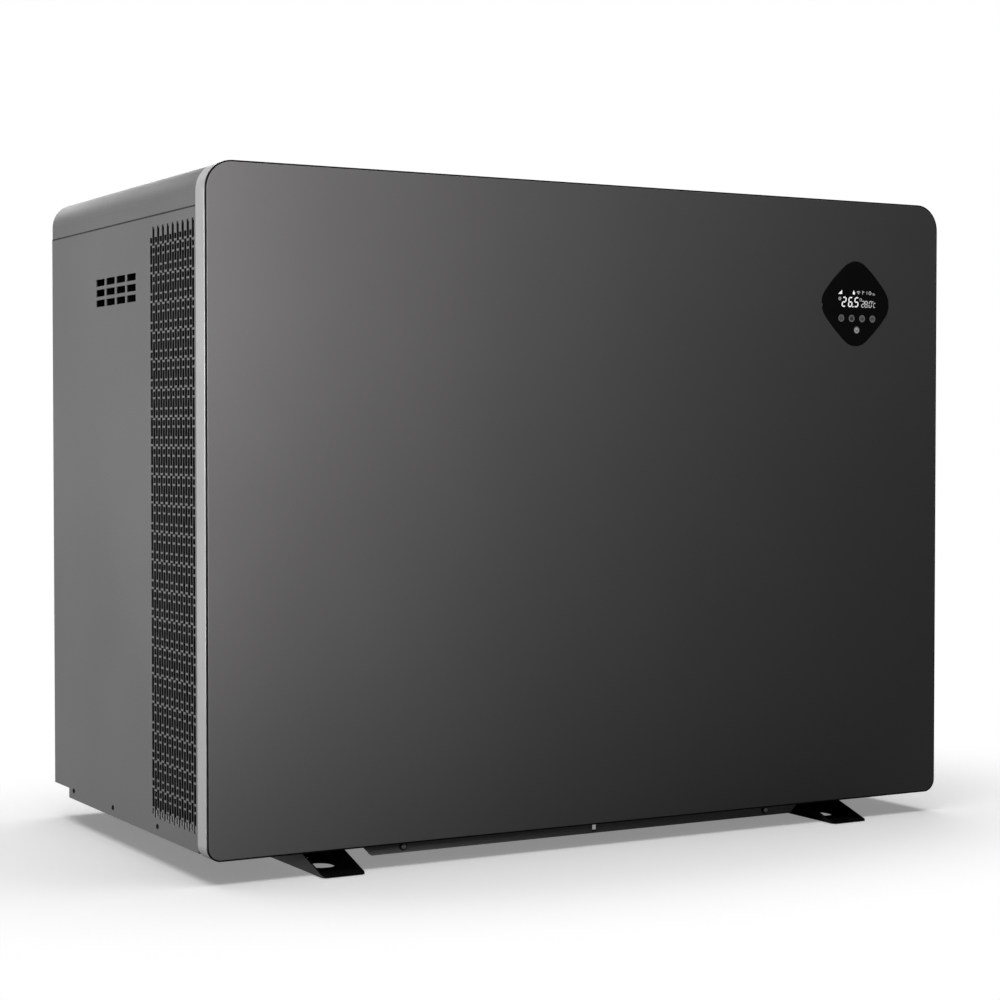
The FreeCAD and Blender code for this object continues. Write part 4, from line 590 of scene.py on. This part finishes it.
def touch_keys():
    """A row of four keys, with the power key below."""
    row_x = (-21.4, -5.8, 10.0, 25.8)
    row_z = -17.6
    power_x, power_z = 1.8, -31.4
    centres = [(x, row_z) for x in row_x] + [(power_x, power_z)]
    discs = [disc(x, z, radius=3.7, sides=32) for x, z in centres]
    on_glass("display_touch_discs", discs, key_fill, half=0.02)
    rims = [ring(x, z, radius=3.9, stroke=0.45, steps=28) for x, z in centres]
    on_glass("display_touch_rings", sum(rims[:-1], []), dim)

    mode_x, timer_x, down_x, up_x = row_x
    marks = bars([
        (-2.4, -1.8, 2.4, 1.8, 0.7), (-2.0, 1.8, 0.0, 1.8, 0.6), (0.0, -1.8, 2.0, -1.8, 0.6),
    ], mode_x, row_z)
    for i in range(3):
        marks.append(spoke(timer_x, row_z, start=-2.6, end=2.6, degrees=60 * i, stroke=0.7))
    marks += ring(timer_x, row_z, radius=1.6, stroke=0.5, steps=12)
    for x, way in ((down_x, 1), (up_x, -1)):
        chevron = [
            (-2.1, 0.8 * way, 0.0, -1.2 * way, 0.8), (0.0, -1.2 * way, 2.1, 0.8 * way, 0.8),
        ]
        marks += bars(chevron, x, row_z)
    on_glass("display_touch_keys", marks, key_mark)

    on_glass("display_power_ring", rims[-1], dim)
    power = arc(power_x, power_z - 0.2, radius=2.5, stroke=0.8, start=120, end=420, steps=18)
    power += bars([(0.0, -0.4, 0.0, 3.0, 0.9)], power_x, power_z)
    on_glass("display_power_mark", power, lit_soft)


temperatures()
status_marks()
touch_keys()

# ---------------------------------------------------------------- dark lips under the cover, painted shade for the seams' shadow gap
# lip section: outward from the side skin, up from its rim
LIP = [
    (-0.0010, -0.0002), (0.00012, -0.0002), (0.00022, 0.0003),
    (0.00022, 0.0010), (0.00012, 0.0015), (-0.0010, 0.0015),
]
LIP_STEPS = 60
LIP_WAVER = 0.00003
LIP_FRONT_GAP = 0.0006  # behind the front frame
LIP_REAR_GAP = 0.0010  # short of the panel's rear edge


# a near-black strip along each cover seam stands in for the seam's shadow gap: painted shade
def cover_gasket(side, outward):
    lo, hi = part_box(side + "_side_panel")
    skin_x = lo.x if outward < 0 else hi.x
    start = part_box("front_frame")[1].y + LIP_FRONT_GAP
    end = hi.y - LIP_REAR_GAP
    bm = bmesh.new()
    loops = []
    for i in range(LIP_STEPS + 1):
        y = start + (end - start) * i / LIP_STEPS
        waver = LIP_WAVER * math.sin(i * 1.7)
        loops.append(
            [bm.verts.new((skin_x + outward * (dx + waver), y, hi.z + dz)) for dx, dz in LIP]
        )
    for a, b in zip(loops, loops[1:]):
        for j in range(len(LIP)):
            k = (j + 1) % len(LIP)
            bm.faces.new([a[j], a[k], b[k], b[j]])
    bm.faces.new(loops[0])
    bm.faces.new(loops[-1][::-1])
    bmesh.ops.recalc_face_normals(bm, faces=bm.faces)
    new_object("cover_gasket_" + side, bm, mats["black_gasket"])


cover_gasket("left", -1)
cover_gasket("right", 1)

# ---------------------------------------------------------------- evaporator fins
FIN_COUNT = 250
FIN_ROWS_Y, FIN_ROWS_Z = 8, 26
FIN_WAVE = 0.00035
FIN_LEAN = 0.00018
FIN_THICKNESS = 0.00012


def evaporator_fins():
    """Thin rippled fins in place of the solid pack."""
    rng = random.Random(11)
    lo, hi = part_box("evaporator_fin_pack")
    size = hi - lo
    ys = [lo.y + size.y * i / FIN_ROWS_Y for i in range(FIN_ROWS_Y + 1)]
    zs = [lo.z + size.z * i / FIN_ROWS_Z for i in range(FIN_ROWS_Z + 1)]
    bm = bmesh.new()
    for i in range(FIN_COUNT):
        x = lo.x + size.x * (i + 0.5) / FIN_COUNT
        lean = rng.uniform(-FIN_LEAN, FIN_LEAN)
        grid = []
        for j, y in enumerate(ys):
            wave = FIN_WAVE if j % 2 else -FIN_WAVE
            grid.append(
                [bm.verts.new((x + wave + lean * math.sin(z * 40 + i), y, z)) for z in zs]
            )
        for a, b in zip(grid, grid[1:]):
            for k in range(FIN_ROWS_Z):
                bm.faces.new([a[k], b[k], b[k + 1], a[k + 1]])
    fins = new_object("evaporator_fins", bm, mats["fin_aluminium"])
    solidify = fins.modifiers.new("thickness", "SOLIDIFY")
    solidify.thickness = FIN_THICKNESS
    solidify.offset = 0.0
    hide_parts("evaporator_fin_pack")


evaporator_fins()

# ---------------------------------------------------------------- gauge dial markings, in mm
# the dial faces +X; its outlines run along y and z from its centre
DIAL_START, DIAL_END = 225, -45  # degrees
DIAL_NUMBERS = 6
TICKS_PER_NUMBER = 5
TICK_TIP = 24
dial_lo, dial_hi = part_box("pressure_gauge_dial")
dial_x = dial_hi.x * 1000 + 0.08
dial_y = (dial_lo.y + dial_hi.y) / 2 * 1000
dial_z = (dial_lo.z + dial_hi.z) / 2 * 1000


def on_dial(name, shapes, material):
    def place(y, z, depth):
        return (dial_x + depth, dial_y + y, dial_z + z)

    raise_shapes(name, shapes, place, (0.03, -0.05), material)


def gauge_markings():
    ink = moulded("dial_ink", colour=(0.015, 0.015, 0.016), rough=0.6, grain=1600.0, scuff=0.1)
    red = moulded("dial_red", colour=(0.55, 0.03, 0.02), rough=0.6, grain=1600.0, scuff=0.1)
    ticks = []
    numbers = []
    tick_count = DIAL_NUMBERS * TICKS_PER_NUMBER
    for i in range(tick_count + 1):
        degrees = DIAL_START + (DIAL_END - DIAL_START) * i / tick_count
        number, minor = divmod(i, TICKS_PER_NUMBER)
        foot, stroke = (21.5, 0.3) if minor else (19.5, 0.55)
        ticks.append(spoke(0, 0, foot, TICK_TIP, degrees, stroke))
        if not minor:
            y, z = polar(-1.1, -2.0, 15.6, math.radians(degrees))
            numbers += digit(str(number), y, z, width=2.2, height=4.0, stroke=0.55, slant=0.0)
    ticks += arc(0, 0, radius=24.4, stroke=0.5, start=DIAL_END, end=DIAL_START, steps=60)
    on_dial("gauge_scale", ticks + numbers, ink)
    band = arc(0, 0, radius=22.6, stroke=1.3, start=DIAL_END, end=0, steps=20)
    on_dial("gauge_red_band", band, red)


gauge_markings()

# ---------------------------------------------------------------- floor and world
FLOOR_HALF = 14.0
FLOOR_DROP = 0.0005
FLOOR_LIT = 0.98  # diffuse tone that takes light and shadow
FLOOR_BASE = 0.25  # even tone added to it
FLOOR_BOUNCE = 0.20  # tone that reflections and bounced light meet
FADE_SCALE = (1.053, 1.667, 1.0)  # makes the fade to white oval
FADE_START, FADE_END = 0.65, 1.15
AMBIENT = 0.057
WHITE = (1.0, 1.0, 1.0)


def mix_shaders(tree, factor, first, second):
    return add_node(tree, "ShaderNodeMixShader", {0: factor, 1: first, 2: second}).outputs[0]


def camera_ray(tree):
    return add_node(tree, "ShaderNodeLightPath").outputs["Is Camera Ray"]


def floor_material():
    """Pale sheet: an even base tone plus the lit part, fading to plain white far away."""
    material = bpy.data.materials.new("studio_floor")
    material.use_nodes = True
    tree = material.node_tree
    tree.nodes.remove(tree.nodes["Principled BSDF"])

    def output(kind, inputs=None, **settings):
        return add_node(tree, kind, inputs, **settings).outputs[0]

    lit_part = output("ShaderNodeBsdfDiffuse", {"Color": (FLOOR_LIT,) * 3})
    base = output("ShaderNodeEmission", {"Color": WHITE, "Strength": FLOOR_BASE})
    near = output("ShaderNodeAddShader", {0: lit_part, 1: base})
    white = output("ShaderNodeEmission", {"Color": WHITE, "Strength": 1.0})
    coords = add_node(tree, "ShaderNodeTexCoord").outputs["Object"]
    oval = output("ShaderNodeMapping", {"Scale": FADE_SCALE, "Vector": coords})
    length = add_node(tree, "ShaderNodeVectorMath", {0: oval}, operation="LENGTH")
    far = output(
        "ShaderNodeMapRange",
        {"From Min": FADE_START, "From Max": FADE_END, "Value": length.outputs["Value"]},
        interpolation_type="SMOOTHSTEP",
    )
    seen = mix_shaders(tree, far, near, white)
    bounce = output("ShaderNodeBsdfDiffuse", {"Color": (FLOOR_BOUNCE,) * 3})
    surface = mix_shaders(tree, camera_ray(tree), bounce, seen)
    feed(tree, tree.nodes["Material Output"].inputs["Surface"], surface)
    return material


def make_floor():
    h = FLOOR_HALF
    mesh = bpy.data.meshes.new("floor")
    mesh.from_pydata([(-h, -h, 0), (h, -h, 0), (h, h, 0), (-h, h, 0)], [], [(0, 1, 2, 3)])
    piece = bpy.data.objects.new("floor", mesh)
    scene.collection.objects.link(piece)
    mesh.materials.append(floor_material())
    piece.location.z = -FLOOR_DROP
    return piece


def make_world():
    """White to the camera, a faint ambient light to everything else."""
    world = bpy.data.worlds.new("studio")
    scene.world = world
    world.use_nodes = True
    tree = world.node_tree
    backdrop = tree.nodes["Background"]
    feed(tree, backdrop.inputs["Color"], WHITE)
    feed(tree, backdrop.inputs["Strength"], 1.0)
    ambient = add_node(tree, "ShaderNodeBackground", {"Color": WHITE, "Strength": AMBIENT})
    surface = mix_shaders(tree, camera_ray(tree), ambient.outputs[0], backdrop.outputs[0])
    feed(tree, tree.nodes["World Output"].inputs["Surface"], surface)


floor = make_floor()
make_world()

# ---------------------------------------------------------------- lights
# all but the top light are kept off the floor, as with flagged studio lamps
unit = bpy.data.collections.new("unit_only")
for piece in list(bpy.data.objects):
    if piece.type == "MESH" and piece is not floor:
        unit.objects.link(piece)
# the key only reaches the front face, the controller, the apron and the feet
FRONT_PIECES = (
    "front_panel", "controller_glass", "controller_housing", "base_pan",
    "apron_screws", "apron_washers", "left_foot_rail", "right_foot_rail",
)
front = bpy.data.collections.new("front_only")
for piece in unit.objects:
    if piece.name in FRONT_PIECES or piece.name.startswith("display_"):
        front.objects.link(piece)

# name, place, aim, width, height, watts, collection lit (None for everything)
LIGHTS = [
    ("key_left_front", (-0.98, -1.29, 0.50), (-1.50, -0.25, 1.40), 0.6, 0.6, 45.6, front),
    ("side_left", (-2.55, 0.50, 0.56), (-0.48, 0.00, 0.36), 1.6, 1.08, 69.5, unit),
    ("top_soft", (0.0, 0.2, 3.6), (0.0, 0.0, 0.0), 4.0, 4.0, 141.0, None),
    ("rear_fill", (0.30, 2.90, 0.95), (0.0, 0.25, 0.38), 2.0, 1.6, 60.0, unit),
    ("right_fill", (2.70, 0.55, 0.85), (0.48, 0.05, 0.38), 1.6, 1.6, 48.0, unit),
]
for name, place, aim, width, height, watts, receivers in LIGHTS:
    light = bpy.data.lights.new(name, "AREA")
    light.shape = "RECTANGLE"
    light.size, light.size_y = width, height
    light.energy = watts
    light.spread = math.radians(180.0)
    lamp = bpy.data.objects.new(name, light)
    scene.collection.objects.link(lamp)
    lamp.location = place
    lamp.rotation_euler = (Vector(aim) - Vector(place)).to_track_quat("-Z", "Y").to_euler()
    if receivers:
        lamp.light_linking.receiver_collection = receivers

# ---------------------------------------------------------------- camera, front left
lens = bpy.data.cameras.new("camera")
lens.lens = 79.92
lens.sensor_width = 36.0
lens.clip_end = 60.0
camera = bpy.data.objects.new("camera", lens)
scene.collection.objects.link(camera)
camera.location = (-1.3306, -2.3663, 0.4587)
camera.rotation_euler = (math.radians(88.426), 0.0, math.radians(-29.416))
scene.camera = camera
scene.view_settings.view_transform = "Standard"
scene.view_settings.look = "None"
